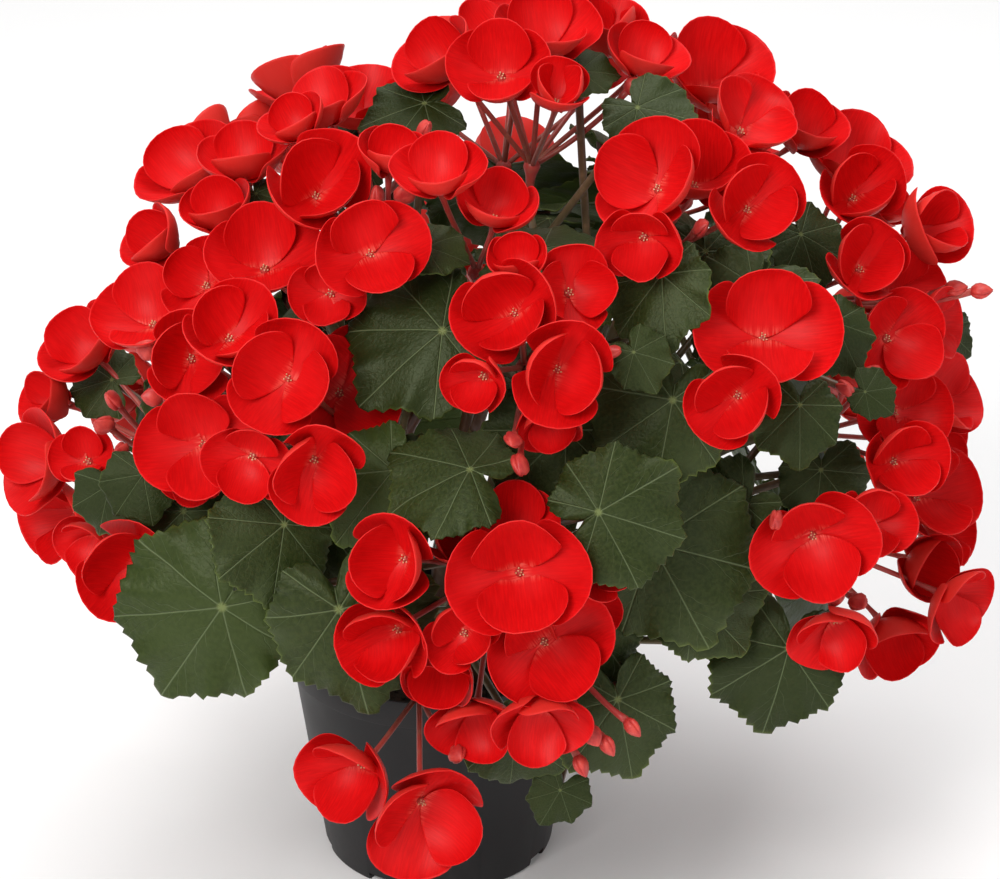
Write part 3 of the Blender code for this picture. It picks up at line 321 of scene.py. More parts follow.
# Leaves that the photograph shows: where the stalk joins in pixels, which way the tip points in the
# picture in degrees, overall length in mm, how far it faces right and up, how deep it sits in mm
LEAVES = (
    Leaf(442, 330, -105, 60, -0.1, 0.3, 10), Leaf(425, 243, -20, 44, 0.0, 0.6, 6),
    Leaf(545, 240, -15, 62, 0.1, 0.82, 10), Leaf(470, 470, 190, 60, -0.1, 0.6, 14),
    Leaf(178, 512, -45, 46, -0.1, -0.1, 8), Leaf(222, 607, -125, 68, -0.15, -0.25, 8),
    Leaf(285, 525, -95, 50, 0.3, -0.1, 20), Leaf(338, 610, -78, 74, -0.05, -0.25, 10),
    Leaf(598, 512, 30, 50, 0.1, 0.1, 4), Leaf(655, 545, -60, 70, 0.1, -0.05, 14),
    Leaf(698, 600, -45, 50, 0.25, -0.2, 24), Leaf(672, 400, -100, 52, 0.0, 0.0, 22),
    Leaf(755, 283, -110, 50, -0.1, 0.3, 10), Leaf(662, 275, -100, 42, -0.45, 0.2, 12),
    Leaf(800, 405, -90, 34, 0.0, 0.15, 6), Leaf(864, 392, -70, 20, 0.2, 0.2, 4),
    Leaf(748, 505, -98, 44, 0.0, -0.1, 16), Leaf(790, 650, -85, 54, 0.1, -0.2, 12),
    Leaf(958, 325, -75, 34, 0.45, 0.1, 10), Leaf(618, 700, -75, 50, 0.2, -0.25, 18),
    Leaf(424, 102, 195, 40, -0.1, 0.6, 10), Leaf(638, 104, -60, 36, 0.0, 0.5, 6),
    Leaf(580, 70, 10, 24, 0.1, 0.6, 6), Leaf(560, 790, -115, 24, 0.1, -0.3, 18),
    Leaf(515, 735, -50, 42, 0.1, -0.5, 24), Leaf(112, 484, -60, 30, -0.3, 0.0, 8),
    Leaf(145, 474, -80, 30, 0.0, 0.0, 10), Leaf(634, 352, -60, 24, 0.1, 0.2, 2),
    Leaf(835, 322, -60, 32, 0.2, 0.2, 10), Leaf(706, 250, -85, 42, 0.0, 0.2, 30),
    Leaf(256, 194, -60, 24, -0.1, 0.5, 12), Leaf(566, 430, -90, 54, 0.0, 0.0, 36),
    Leaf(590, 622, -85, 58, 0.1, -0.1, 24), Leaf(112, 380, 130, 30, -0.3, 0.3, 18),
    Leaf(350, 135, -150, 36, -0.1, 0.5, 24), Leaf(800, 235, -70, 40, 0.3, 0.3, 22),
    Leaf(392, 470, -115, 62, -0.1, 0.1, 20), Leaf(820, 470, -80, 50, 0.1, 0.0, 34),
)

# Leaves on the far side follow a spiral: how many, between which heights on the ball, their lengths
FAR_LEAVES = 20
FAR_LEAF_TOP = 0.62
FAR_LEAF_BOTTOM = -0.5
FAR_LEAF_SIZE = (62, 84)
FAR_LEAF_INSET = 24 * MM
FAR_LEAF_SWING = 95
FAR_LEAF_STEP = 1.7
FAR_LEAF_LEAN = 0.4

# Fine petals: rings of corners over the top, at the rim and under the petal, as shares of its reach
FINE_CURVE = (0.6, 1.7, 0.558)
PETAL_COLUMNS = 32
PETAL_TOP = (0.22, 0.45, 0.66, 0.82, 0.93, 0.985)
PETAL_UNDER = (0.985, 0.9, 0.66, 0.35)
PETAL_THIN = 0.5 * MM
PETAL_HEART = 0.55
RIM_RUFFLE = 0.9 * MM
RIM_CURL = 1.4 * MM
PETAL_DENT = 0.025
DENT_AT = 0.75
DENT_LENGTH = 0.3
DENT_WIDTH = 0.35
PETAL_WAVES = (2, 3, 4)
PETAL_RIM_FROM = 0.8
PETAL_RIM_GAIN = 3

# Fine leaves
LEAF_TOP_RINGS = (0.08, 0.2, 0.34, 0.48, 0.62, 0.75, 0.86, 0.94, 0.985)
LEAF_UNDER_RINGS = (0.985, 0.8, 0.5, 0.2)
LEAF_THIN = 0.7 * MM
LEAF_LOBES = 8
LOBE_DEPTH = 0.05
SERRATION = (-1, -0.3, 0.35, 1)
SERRATION_DEPTH = 0.026
QUILT = 0.4 * MM
CRUMPLE = 0.018
RUFFLE_SHARE = 0.03
LEAF_RUFFLES = (5, 7, 9)
SMALL_RUFFLES = 17
LEAF_WRINKLES = (190, 230)
LEAF_FRINGE_FROM = 0.7
LEAF_RIM_FROM = 0.86
LEAF_RIM_GAIN = 5
TEETH = (0.4, 1.3)

# Columns to each side of a leaf's outline, by its least size
LEAF_FINENESS = ((46 * MM, 12), (30 * MM, 8), (0, 5))

# Fine stalks, buds and stamens
TUBE_STEPS = 14
STALK_SIDES = 8
TRUNK_SIDES = 14
SWELL = 0.16
SWELLINGS = 3.3
SWELL_LENGTH = 0.1
STAMENS = 7
STAMEN_R = 0.36 * MM
STAMEN_REACH = 1.9 * MM
STAMEN_SPREAD = 1.3 * MM
STAMEN_SIDES = 5
STAMEN_TAPER = (0.5, 0.55, 1, 0.7)
BUD_COLUMNS = 12
BUD_RINGS = (0.12, 0.3, 0.5, 0.7, 0.86, 0.96)
PEDUNCLE_SWELL = (1, 1, 1, 1, 1.1, 1.25)
HUB_SWELL = (0.85, 1, 0.9, 0.55)

# Fine pot and soil
FINE_SIDES = 112
MERGE = 0.00001
POT_EDGE = 0.6 * MM
POT_SHARP = 32
DRAIN_SIDES = 24
SOIL_RINGS = 26
SOIL_BUMP = 1.1 * MM
CRUMBS = 260
CRUMB_R = (0.8, 2.6)
CRUMB_SIDES = 7
CRUMB_RINGS = (0.25, 0.5, 0.75)

# How a fine bloom or leaf may move along its own axis, in mm, and shrink to clear its neighbours
SETTLING = (
    (0, 1), (-2, 1), (2, 1), (0, 0.95), (-4, 1), (4, 1), (-2, 0.93), (2, 0.93), (-6, 0.95), (6, 0.95),
)

# Small leaves deep inside the plant: how many, their depths as shares of the ball, their lengths
INNER_LEAVES = 144
INNER_DEPTH = (0.45, 0.84)
INNER_SIZE = (34, 58)
INNER_TOP = 0.9
INNER_BOTTOM = -0.156
INNER_CROSSINGS = 4

# Studio
FLOOR_SIZE = 6
SENSOR = 36
FRAME_WIDTH = 1000
WORLD_STRENGTH = 0.42

# Lights: name, place, size, power, colour
LIGHTS = (
    ("key", (-0.7, -1.5, 1.5), 0.9, 33, (1.0, 0.98, 0.96)),
    ("fill", (1.4, -1.2, 0.8), 1.2, 5, (0.96, 0.98, 1.0)),
    ("top", (0.1, 0.5, 1.9), 1.4, 26, (1.0, 1.0, 1.0)),
)

# Colours
PETAL_REDS = ((0.55, 0.003, 0.004), (0.66, 0.005, 0.006))
PETAL_PATCH = (0.70, 0.010, 0.012)
PETAL_BACK = (0.64, 0.035, 0.026)
# Painted highlight along the petals' rims
PETAL_RIM_HIGHLIGHT = (0.80, 0.08, 0.07)
PETAL_FOOT = (0.85, 0.22, 0.16)
LEAF_GREENS = ((0.012, 0.020, 0.0025), (0.027, 0.038, 0.008))
# Lighter leaf patches: partly the leaf's own uneven tone, partly painted sheen
LEAF_PATCH_AND_SHEEN = (0.045, 0.060, 0.022)
LEAF_FRESH = (0.040, 0.065, 0.010)
LEAF_DARK = (0.010, 0.016, 0.002)
LEAF_VEIN = (0.13, 0.165, 0.080)
LEAF_MIDDLE = (0.14, 0.17, 0.06)
LEAF_BACK = (0.075, 0.12, 0.030)
# Pale leaf margin shown only in the painted sheen patches: partly the leaf's own margin, partly painted
# light on its edge
LEAF_FRINGE_AND_LIT_EDGE = (0.15, 0.20, 0.035)
LEAF_SHINE = (0.9, 1.0, 0.7, 1)
STEM_REDS = ((0.10, 0.028, 0.016), (0.11, 0.10, 0.04))
STALK_REDS = ((0.24, 0.05, 0.03), (0.42, 0.035, 0.03))
STALK_SPOT = (0.30, 0.16, 0.09)
BUD_REDS = ((0.42, 0.02, 0.02), (0.62, 0.06, 0.045))
STAMEN_YELLOWS = ((0.60, 0.36, 0.16), (0.74, 0.60, 0.38))
SOIL_BROWNS = ((0.010, 0.006, 0.004), (0.045, 0.028, 0.018))
POT_BLACKS = ((0.010, 0.009, 0.0095), (0.017, 0.0155, 0.016))
FLOOR_COLOUR = (0.9, 0.9, 0.9, 1)


def direction(azimuth, elevation):
    """A unit vector, in degrees round from the viewer's side towards +X and above the level."""
    a = math.radians(azimuth)
    e = math.radians(elevation)
    return Vector((math.sin(a) * math.cos(e), -math.cos(a) * math.cos(e), math.sin(e)))


def facing(right, up):
    """The way something faces that leans this far right and up in the picture."""
    forward = math.sqrt(max(0.0, 1 - right * right - up * up))
    return (ACROSS * right + UPWARD * up + TOWARDS * forward).normalized()


def seat(x, y, inset):
    """Where the line of sight through a pixel meets the ball, this far inside its surface."""
    aim = VIEW_TARGET
    aim = aim + ACROSS * (x - FRAME_MIDDLE[0]) * PER_PIXEL + UPWARD * (FRAME_MIDDLE[1] - y) * PER_PIXEL
    ray = (aim - EYE).normalized()
    nearest = EYE + ray * (BALL_CENTRE - EYE).dot(ray)
    radius = BALL_R - inset
    miss = (nearest - BALL_CENTRE).length
    if miss >= radius:
        return nearest
    return nearest - ray * math.sqrt(radius * radius - miss * miss)


def frame_of(place, normal, guide):
    """A frame at place with +Z along normal and +X as near to guide as it can be."""
    z = normal.normalized()
    x = (guide - z * guide.dot(z)).normalized()
    y = z.cross(x)
    return Matrix((
        (x.x, y.x, z.x, place.x), (x.y, y.y, z.y, place.y), (x.z, y.z, z.z, place.z), (0, 0, 0, 1),
    ))


def petal_outline(along):
    """A petal's half width as a share of its greatest: widest past its middle, with a round tip."""
    foot, tip, greatest = PETAL_CURVE
    return along ** foot * math.sqrt(max(0.0, 1 - along ** tip)) / greatest


def petal_point(petal, along, across, lift):
    """A point of a petal in its bloom's frame: along 0 to 1, across -1 to 1, lifted off its surface."""
    bend = petal.tip - petal.foot
    lean = petal.foot + bend * along
    out = petal.length * (math.cos(petal.foot) - math.cos(lean)) / bend
    height = petal.length * (math.sin(lean) - math.sin(petal.foot)) / bend
    half = petal.width / 2 * petal_outline(along)
    rise = half * (1 - math.cos(petal.cup * across)) / petal.cup + lift
    side = half * math.sin(petal.cup * across) / petal.cup
    point = Vector((out - rise * math.cos(lean), side, height + rise * math.sin(lean)))
    return Matrix.Rotation(petal.turn, 3, "Z") @ point


def leaf_outline(bearing, lop):
    """A begonia leaf's edge from its stalk as a share of its length: lopsided, with a deep notch."""
    body = LEAF_BODY + LEAF_LONGER * math.cos(bearing) + lop * math.sin(bearing)
    point = LEAF_POINT * math.exp(-(bearing / LEAF_POINT_WIDTH) ** 2)
    notch = 1 - LEAF_NOTCH * math.exp(-((math.pi - abs(bearing)) / LEAF_NOTCH_WIDTH) ** 2)
    return (body + point) * notch


def leaf_point(blade, bearing, reach, lift):
    """A point of a leaf: bearing from its tip, reach 0 at the stalk to 1 at the edge."""
    radius = blade.size * leaf_outline(bearing, blade.lop) * reach
    fold = blade.wave * math.sin(3 * bearing + blade.phase) - blade.droop
    point = Vector((radius * math.cos(bearing), radius * math.sin(bearing), lift + radius * reach * fold))
    return blade.frame @ point


PLAIN_SKINS = {}


def plain_skin(columns, bands):
    """A ball's skin, with the row and the column of each corner; each kind is made once."""
    if (columns, bands) not in PLAIN_SKINS:
        bm = bmesh.new()
        bmesh.ops.create_uvsphere(bm, u_segments=columns, v_segments=bands, radius=1)
        spots = []
        for vert in bm.verts:
            row = round(math.acos(max(-1.0, min(1.0, vert.co.z))) / math.pi * bands)
            column = round(math.atan2(vert.co.y, vert.co.x) / math.tau * columns) % columns
            spots.append((row, column))
        PLAIN_SKINS[columns, bands] = (bm, spots)
    return PLAIN_SKINS[columns, bands]


def skin(columns, rows):
    """A closed skin over rows of corners, from its top point to its bottom point.

    Each row gives a corner's place for its column.
    """
    plain, spots = plain_skin(columns, len(rows) - 1)
    bm = plain.copy()
    for vert, (row, column) in zip(bm.verts, spots):
        vert.co = rows[row](column)
    return bm


def ring(base, sides, radius, height):
    """Corners on a circle in a frame, this far up its axis."""
    turns = [math.tau * number / sides for number in range(sides)]
    return [base @ Vector((radius * math.cos(turn), radius * math.sin(turn), height)) for turn in turns]


def stalk_rings(top, foot, sides, turn, top_r, foot_r):
    """The rings of corners that a stalk has under a blade's frame, down to its foot.

    Where the stalk would leave the blade too flat, it first runs straight down to an elbow.
    """
    head = top.translation
    side = top.col[0].to_3d()
    down = -top.col[2].to_3d()
    turns = [turn + math.tau * number / sides for number in range(sides)]
    flat = [Vector((math.cos(angle), math.sin(angle), 0)) for angle in turns]
    rings = [[top @ (corner * top_r - Vector((0, 0, STALK_DROP))) for corner in flat]]
    run = foot - head
    if run.normalized().dot(down) < STALK_FLATTEST:
        head = head + down * ELBOW_DROP
        run = foot - head
        bend = frame_of(head, -(run.normalized() + down), side)
        rings.append([bend @ (corner * top_r) for corner in flat])
    end = frame_of(foot, -run, side)
    rings.append([end @ (corner * foot_r) for corner in flat])
    return rings


def bloom_skin(frame, petals, hub):
    """A bloom: one skin over its petals, drawn down into the stalk that holds it to its hub."""
    rings = stalk_rings(frame, hub, 3, petals[0].turn + math.pi / 4, PEDICEL_TOP_R, PEDICEL_R)
    centre = frame @ Vector((0, 0, EYE_RISE))
    columns = []
    for number, petal in enumerate(petals):
        left = NOTCH_CORNERS[number - 1]
        right = NOTCH_CORNERS[number]
        notch_turn = petal.turn - math.pi / 4
        notch = frame @ Vector((NOTCH_R * math.cos(notch_turn), NOTCH_R * math.sin(notch_turn), NOTCH_RISE))
        over = frame @ petal_point(petal, PETAL_MIDDLE, 0, PETAL_THICK / 2)
        under = frame @ petal_point(petal, PETAL_MIDDLE, 0, -PETAL_THICK / 2)
        edge = [frame @ petal_point(petal, along, side, 0) for along, side in PETAL_EDGES[number % 2]]
        columns.append((centre, notch, rings[0][left], left))
        columns.append((centre, edge[0], rings[0][left], left))
        for step, point in enumerate(edge):
            columns.append((over, point, under, left if step < len(edge) / 2 else right))
        columns.append((centre, edge[-1], rings[0][right], right))
    rows = [lambda column: centre]
    rows += [lambda column, part=part: columns[column][part] for part in range(3)]
    rows += [lambda column, corners=corners: corners[columns[column][3]] for corners in rings]
    rows += [lambda column: hub]
    return skin(len(columns), rows)


def leaf_skin(blade, foot):
    """A leaf: one skin over its toothed blade, drawn down into its stalk."""
    turn = math.pi / PETIOLE_SIDES
    rings = stalk_rings(blade.frame, foot, PETIOLE_SIDES, turn, PETIOLE_R, PETIOLE_FOOT_R)

    def edge(column):
        turn = math.tau * column / LEAF_SIDES
        bearing = turn if turn <= math.pi else turn - math.tau
        return leaf_point(blade, bearing, 1 + TOOTH * (1 if column % 2 == 0 else -1), 0)

    def corner(column):
        return int(column * PETIOLE_SIDES / LEAF_SIDES)

    rows = [lambda column: leaf_point(blade, 0, 0, LEAF_THICK / 2), edge]
    rows += [lambda column, corners=corners: corners[corner(column)] for corners in rings]
    rows += [lambda column: foot]
    return skin(LEAF_SIDES, rows)


def bud_skin(place, hub):
    """A bud on its stalk."""
    out = (place - hub).normalized()
    frame = frame_of(place, out, ACROSS)
    foot = frame_of(hub, out, ACROSS)
    rings = [
        ring(frame, BUD_SIDES, BUD_R, 0),
        ring(frame, BUD_SIDES, PEDICEL_R, -BUD_FOOT * BUD_R),
        ring(foot, BUD_SIDES, PEDICEL_R, 0),
    ]
    rows = [lambda column: frame @ Vector((0, 0, BUD_TOP * BUD_R))]
    rows += [lambda column, corners=corners: corners[column] for corners in rings]
    rows += [lambda column: hub]
    return skin(BUD_SIDES, rows)


def peduncle_skin(start, hub):
    """The stalk of a head, which swells to the hub where its flowers' stalks meet."""
    base = frame_of(start, hub - start, ACROSS)
    length = (hub - start).length
    rings = [ring(base, PEDUNCLE_SIDES, HUB_R, length), ring(base, PEDUNCLE_SIDES, PEDUNCLE_R, 0)]
    rows = [lambda column: base @ Vector((0, 0, length + HUB_R))]
    rows += [lambda column, corners=corners: corners[column] for corners in rings]
    rows += [lambda column: start]
    return skin(PEDUNCLE_SIDES, rows)


def petals_of(span, roll, rng):
    """The petals of a bloom: two broad outer ones and, across them, two that cup inwards."""
    length = PETAL_SHARE * span * rng.uniform(*PETAL_VARY)
    opening = rng.uniform(*OPENING)
    petals = []
    for number in range(4):
        outer = number % 2 == 0
        foot, tip = OUTER_LEAN if outer else INNER_LEAN
        tip += opening + rng.uniform(*PETAL_TIP_SWING)
        petals.append(Petal(
            turn=math.radians(roll + 90 * number + rng.uniform(*PETAL_TURN_SWING)),
            length=length,
            width=length * (OUTER_WIDTH if outer else INNER_WIDTH),
            foot=math.radians(foot + opening),
            tip=math.radians(tip),
            cup=math.radians(OUTER_CUP if outer else INNER_CUP),
        ))
    return petals


def bezier(points, share):
    """A point on the curve that these points steer."""
    while len(points) > 1:
        points = [a.lerp(b, share) for a, b in zip(points, points[1:])]
    return points[0]


def tube(points, radii, roundness):
    """A closed tube along points: a curve turned into a mesh."""
    curve = bpy.data.curves.new("tube", "CURVE")
    curve.dimensions = "3D"
    curve.bevel_depth = 1.0
    curve.bevel_resolution = roundness
    curve.use_fill_caps = True
    spline = curve.splines.new("POLY")
    spline.points.add(len(points) - 1)
    for knot, point, radius in zip(spline.points, points, radii):
        knot.co = (*point, 1)
        knot.radius = radius
    helper = bpy.data.objects.new("tube", curve)
    bpy.context.scene.collection.objects.link(helper)
    mesh = bpy.data.meshes.new_from_object(helper.evaluated_get(bpy.context.evaluated_depsgraph_get()))
    bm = bmesh.new()
    bm.from_mesh(mesh)
    bmesh.ops.remove_doubles(bm, verts=bm.verts, dist=WELD)
    bpy.data.objects.remove(helper)
    bpy.data.meshes.remove(mesh)
    bpy.data.curves.remove(curve)
    return bm


def tree_of(bm, swell=0.0, centre=None, radius=0.0):
    """A search tree over a piece, swollen a little, or over its faces that lie close to a point."""
    bm.normal_update()
    bm.verts.index_update()
    places = [vert.co + vert.normal * swell for vert in bm.verts]
    near = [centre is None or (vert.co - centre).length < radius for vert in bm.verts]
    faces = [[vert.index for vert in face.verts] for face in bm.faces]
    return BVHTree.FromPolygons(places, [face for face in faces if all(near[corner] for corner in face)])


def box_of(bm):
    """The lowest and the highest x, y and z of a piece."""
    places = list(zip(*(vert.co for vert in bm.verts)))
    return [min(values) for values in places], [max(values) for values in places]


def apart(low, high, other_low, other_high):
    """Whether two boxes lie clear of each other."""
    return (low[0] > other_high[0] or high[0] < other_low[0] or low[1] > other_high[1]
            or high[1] < other_low[1] or low[2] > other_high[2] or high[2] < other_low[2])


class Garden:
    """What has been set so far, with search trees that find where a new piece would cross it."""

    def __init__(self):
        self.trees = []

    def crossings(self, node, bm, centre=None, radius=0.0):
        """How often a piece would cross other nodes, and its blade and its whole the rest of its node."""
        whole = tree_of(bm, CLEAR)
        blade = tree_of(bm, 0, centre, radius)
        low, high = box_of(bm)
        others = own = rest = 0
        for owner, other, other_blade, other_low, other_high in self.trees:
            if apart(low, high, other_low, other_high):
                continue
            if owner != node:
                others += len(whole.overlap(other))
            else:
                own += len(blade.overlap(other_blade or other))
                rest += len(whole.overlap(other))
        return others, own, max(0, rest - JOINT_CROSSINGS)

    def add(self, node, bm, centre=None, radius=0.0):
        """Keeps a piece. One with a centre has a blade that lies round it."""
        bmesh.ops.remove_doubles(bm, verts=bm.verts, dist=WELD)
        blade = tree_of(bm, 0, centre, radius) if centre else None
        self.trees.append((node, tree_of(bm), blade, *box_of(bm)))

    def guard(self, name, bm):
        """Keeps others clear of a shape that isn't a piece itself."""
        self.trees.append((name, tree_of(bm), None, *box_of(bm)))


def tries(turns, shrinks):
    """Ways to move a piece, the least change first: its slide back, its turn in degrees, its size."""
    found = []
    for step in range(-SLIDES_OUT, SLIDES_IN + 1):
        for turn in turns:
            for shrink in shrinks:
                cost = abs(step) + OUT_COST * (step < 0) + abs(turn) / TURN_COST
                cost += SHRINK_COST * (1 - shrink)
                found.append((cost, step * SLIDE_STEP, turn, shrink))
    return [entry[1:] for entry in sorted(found)]


def bloom_frames():
    """Where every bloom should sit: a dict of head to (stem, frames with spans and rolls, bud places)."""
    found = {}
    for name, head in HEADS.items():
        blooms = []
        for bloom in head.blooms:
            normal = facing(bloom.right, bloom.up)
            centre = seat(bloom.x, bloom.y, 0)
            span = bloom.span * MM
            frame = frame_of(centre - normal * span * BLOOM_SUNK, normal, ACROSS)
            blooms.append((frame, span, bloom.roll, -TOWARDS))
        found[name] = (head.stem, blooms, [seat(x, y, BUD_SUNK) for x, y in head.buds])
    rng = random.Random(SEED)
    for name, (stem, azimuth, elevation, count) in FAR_HEADS.items():
        out = direction(azimuth, elevation)
        patch = frame_of(BALL_CENTRE + out * BALL_R, out, Vector((0, 0, 1)))
        blooms = []
        for number in range(count):
            spread = FAR_SPREAD * math.sqrt(number + 0.2)
            turn = number * GOLDEN_TURN + math.radians(azimuth)
            place = patch @ Vector((spread * math.cos(turn), spread * math.sin(turn), 0))
            normal = (place - BALL_CENTRE).normalized()
            span = rng.uniform(*FAR_SPAN) * MM
            foot = BALL_CENTRE + normal * (BALL_R - span * BLOOM_SUNK)
            lean = (normal + Vector((0, 0, rng.uniform(*FAR_LIFT)))).normalized()
            blooms.append((frame_of(foot, lean, Vector((0, 0, 1))), span, rng.uniform(0, 90), -normal))
        found[name] = (stem, blooms, [])
    return found


def hub_of(blooms):
    """A head's hub: inside the ball, behind the middle of its blooms."""
    middle = sum((frame.translation for frame, *_ in blooms), Vector()) / len(blooms)
    return BALL_CENTRE + (middle - BALL_CENTRE) * HUB_SHARE


def stem_foot(stem):
    """Where a stem comes out of the soil."""
    if STEMS[stem] is None:
        return Vector((0, 0, SOIL_TOP))
    return direction(STEMS[stem], 0) * STEM_RING_R + Vector((0, 0, SOIL_TOP))


def nudges():
    """Small moves of a hub, the least first."""
    steps = (0, 1, -1, 2, -2, 3, -3)
    found = [Vector((x, y, z)) * NUDGE for x in steps for y in steps for z in steps]
    return sorted(found, key=lambda move: move.length)


def branch_to(fork, leave, hub):
    """A branch from a stem's fork to the stalk of a head, and that stalk."""
    out = (hub - BALL_CENTRE).normalized()
    end = hub - out * PEDUNCLE_LENGTH
    reach = (end - fork).length
    bend = fork + leave * reach * BRANCH_BEND
    steers = [fork - leave * BRANCH_SUNK, bend, end - out * reach * BRANCH_LEVEL, end]
    path = [bezier(steers, step / RISE_STEPS) for step in range(RISE_STEPS + 1)]
    path.append(end + out * BRANCH_TIP)
    branch = tube(path, [BRANCH_R * share for share in BRANCH_TAPER], 0)
    start = path[-1] + out * GAP
    shape = (steers, path[-1], start)
    return branch, peduncle_skin(start, hub), path[1:-1], shape


def set_stems(garden, heads):
    """Sets each stem with a branch to each of its heads.

    Returns each head's start and hub, where leaves may grow, and the stems and branches.
    """
    growth = []
    shoots = []
    hubs = {}
    forks = {}
    for stem in STEMS:
        middles = [hub_of(blooms) for owner, blooms, _ in heads.values() if owner == stem]
        foot = stem_foot(stem)
        fork = foot.lerp(sum(middles, Vector()) / len(middles), FORK_SHARE) + Vector((0, 0, FORK_RISE))
        steer = Vector((foot.x, foot.y, (foot.z + fork.z) / 2 + BEND_RISE))
        start = foot + Vector((0, 0, FIRST_RISE))
        rise = [bezier([start, steer, fork], step / RISE_STEPS) for step in range(RISE_STEPS + 1)]
        radii = [STEM_R * share for share in STEM_TAPER]
        sunk = foot - Vector((0, 0, STEM_SUNK))
        garden.add("stem_" + stem, tube([sunk] + rise, radii, 1))
        steers = [start, steer, fork]
        shoots.append(Shoot("stem_" + stem, sunk, steers, None, STEM_R, STEM_R * STEM_TAPER[-1]))
        growth += [(stem, point) for point in rise[1:]]
        forks[stem] = (fork, (fork - rise[-2]).normalized())
    for name, (stem, blooms, _) in heads.items():
        best = None
        for move in nudges():
            hub = hub_of(blooms) + move
            branch, peduncle, path, shape = branch_to(*forks[stem], hub)
            cost = garden.crossings("stem_" + stem, branch)[0]
            cost += garden.crossings("flowers_" + name, peduncle)[0]
            if best is None or cost < best[0]:
                best = (cost, hub, branch, peduncle, path, shape)
            if cost == 0:
                break
        steers, end, start = best[5]
        hubs[name] = (start, best[1])
        shoots.append(Shoot("stem_" + stem, None, steers, end, BRANCH_R, BRANCH_R * BRANCH_TAPER[-1]))
        garden.add("stem_" + stem, best[2])
        garden.add("flowers_" + name, best[3])
        growth += [(stem, point) for point in best[4]]
    return hubs, growth, shoots


def set_blooms(garden, heads, hubs):
    """Sets the blooms and buds of every head, and returns them."""
    set_down = []
    buds_down = []
    ways = tries(BLOOM_TURNS, BLOOM_SHRINKS)
    for name, (_, blooms, buds) in heads.items():
        node = "flowers_" + name
        hub = hubs[name][1]
        for number, (frame, span, roll, back) in enumerate(blooms):
            best = None
            for slide, turn, shrink in ways:
                petals = petals_of(span * shrink, roll + turn, random.Random(name + str(number)))
                place = Matrix.Translation(back * slide) @ frame
                bm = bloom_skin(place, petals, hub)
                cost = garden.crossings(node, bm, place.translation, span)[:2]
                if best is None or cost < best[0]:
                    best = (cost, bm, place.translation, SetBloom(node, place, petals, hub))
                if sum(cost) == 0:
                    break
            garden.add(node, best[1], best[2], span)
            set_down.append(best[3])
        for bud in buds:
            best = None
            for slide, _, _ in tries((0,), (1,)):
                place = bud + (BALL_CENTRE - bud).normalized() * slide
                bm = bud_skin(place, hub)
                cost = garden.crossings(node, bm, place, 3 * BUD_R)[:2]
                if best is None or cost < best[0]:
                    best = (cost, bm, place)
                if sum(cost) == 0:
                    break
            garden.add(node, best[1], best[2], 3 * BUD_R)
            buds_down.append(SetBud(node, best[2], hub))
    return set_down, buds_down


def leaf_blades():
    """Where every leaf should sit: blades with the way that each may slide."""
    rng = random.Random(SEED + 1)
    blades = []
    for leaf in LEAVES:
        normal = facing(leaf.right, leaf.up)
        heading = math.radians(leaf.heading)
        tip = ACROSS * math.cos(heading) + UPWARD * math.sin(heading)
        place = seat(leaf.x, leaf.y, leaf.inset * MM)
        frame = frame_of(place, normal, tip)
        blades.append((frame, leaf.size * MM, -TOWARDS))
    height_step = (FAR_LEAF_TOP - FAR_LEAF_BOTTOM) / FAR_LEAVES
    for number in range(FAR_LEAVES):
        height = FAR_LEAF_TOP - height_step * (number + 0.5)
        azimuth = 180 + FAR_LEAF_SWING * math.sin(number * GOLDEN_TURN * FAR_LEAF_STEP)
        out = direction(azimuth, math.degrees(math.asin(height)))
        place = BALL_CENTRE + out * (BALL_R - FAR_LEAF_INSET)
        lean = [rng.uniform(-FAR_LEAF_LEAN, FAR_LEAF_LEAN) for _ in range(2)]
        tip = Vector((*lean, -1))
        blades.append((frame_of(place, out, tip), rng.uniform(*FAR_LEAF_SIZE) * MM, -out))
    found = []
    for frame, size, back in blades:
        lop = rng.choice((-1, 1)) * rng.uniform(*LEAF_LOP)
        droop = rng.uniform(*LEAF_DROOP)
        wave = rng.uniform(*LEAF_WAVE)
        found.append((Blade(frame, size, lop, droop, wave, rng.uniform(0, math.tau)), back))
    return found


def set_leaves(garden, growth):
    """Sets every leaf with its stalk from the nearest point of a stem that leaves it clear."""
    set_down = []
    ways = tries(LEAF_TURNS, LEAF_SHRINKS)
    for blade, back in leaf_blades():
        best = None
        for slide, turn, shrink in ways:
            spin = Matrix.Rotation(math.radians(turn), 4, "Z")
            frame = Matrix.Translation(back * slide) @ blade.frame @ spin
            set_blade = blade._replace(frame=frame, size=blade.size * shrink)
            foot = frame.translation
            stub = leaf_skin(set_blade, foot - frame.col[2].to_3d() * STUB)
            others = garden.crossings("", stub, foot, blade.size)[0]
            if best and others > best[0][0]:
                continue
            for stem, point in nearest_growth(growth, foot):
                bm = leaf_skin(set_blade, point)
                cost = garden.crossings("stem_" + stem, bm, foot, blade.size)
                if best is None or cost < best[0]:
                    best = (cost, bm, stem, foot, SetLeaf("stem_" + stem, set_blade, point))
                if sum(cost) == 0:
                    break
            if best[0][:2] == (0, 0):
                break
        if best[0][0] == 0:
            garden.add("stem_" + best[2], best[1], best[3], blade.size)
            set_down.append(best[4])
    return set_down


def nearest_growth(growth, foot):
    """The points of stems from which a leaf's stalk may come, the nearest first."""
    depth = (foot - BALL_CENTRE).length
    inner = [entry for entry in growth if (entry[1] - BALL_CENTRE).length < depth - PETIOLE_DEEPER]
    inner.sort(key=lambda entry: (entry[1] - foot).length)
    return inner[:PETIOLE_TRIES]


def pot_inner_radius(height):
    """The inside of the pot's wall at this height."""
    share = height / (POT_HEIGHT - RIM_DEPTH)
    return POT_BASE_R + (POT_WALL_TOP_R - POT_BASE_R) * share - POT_WALL


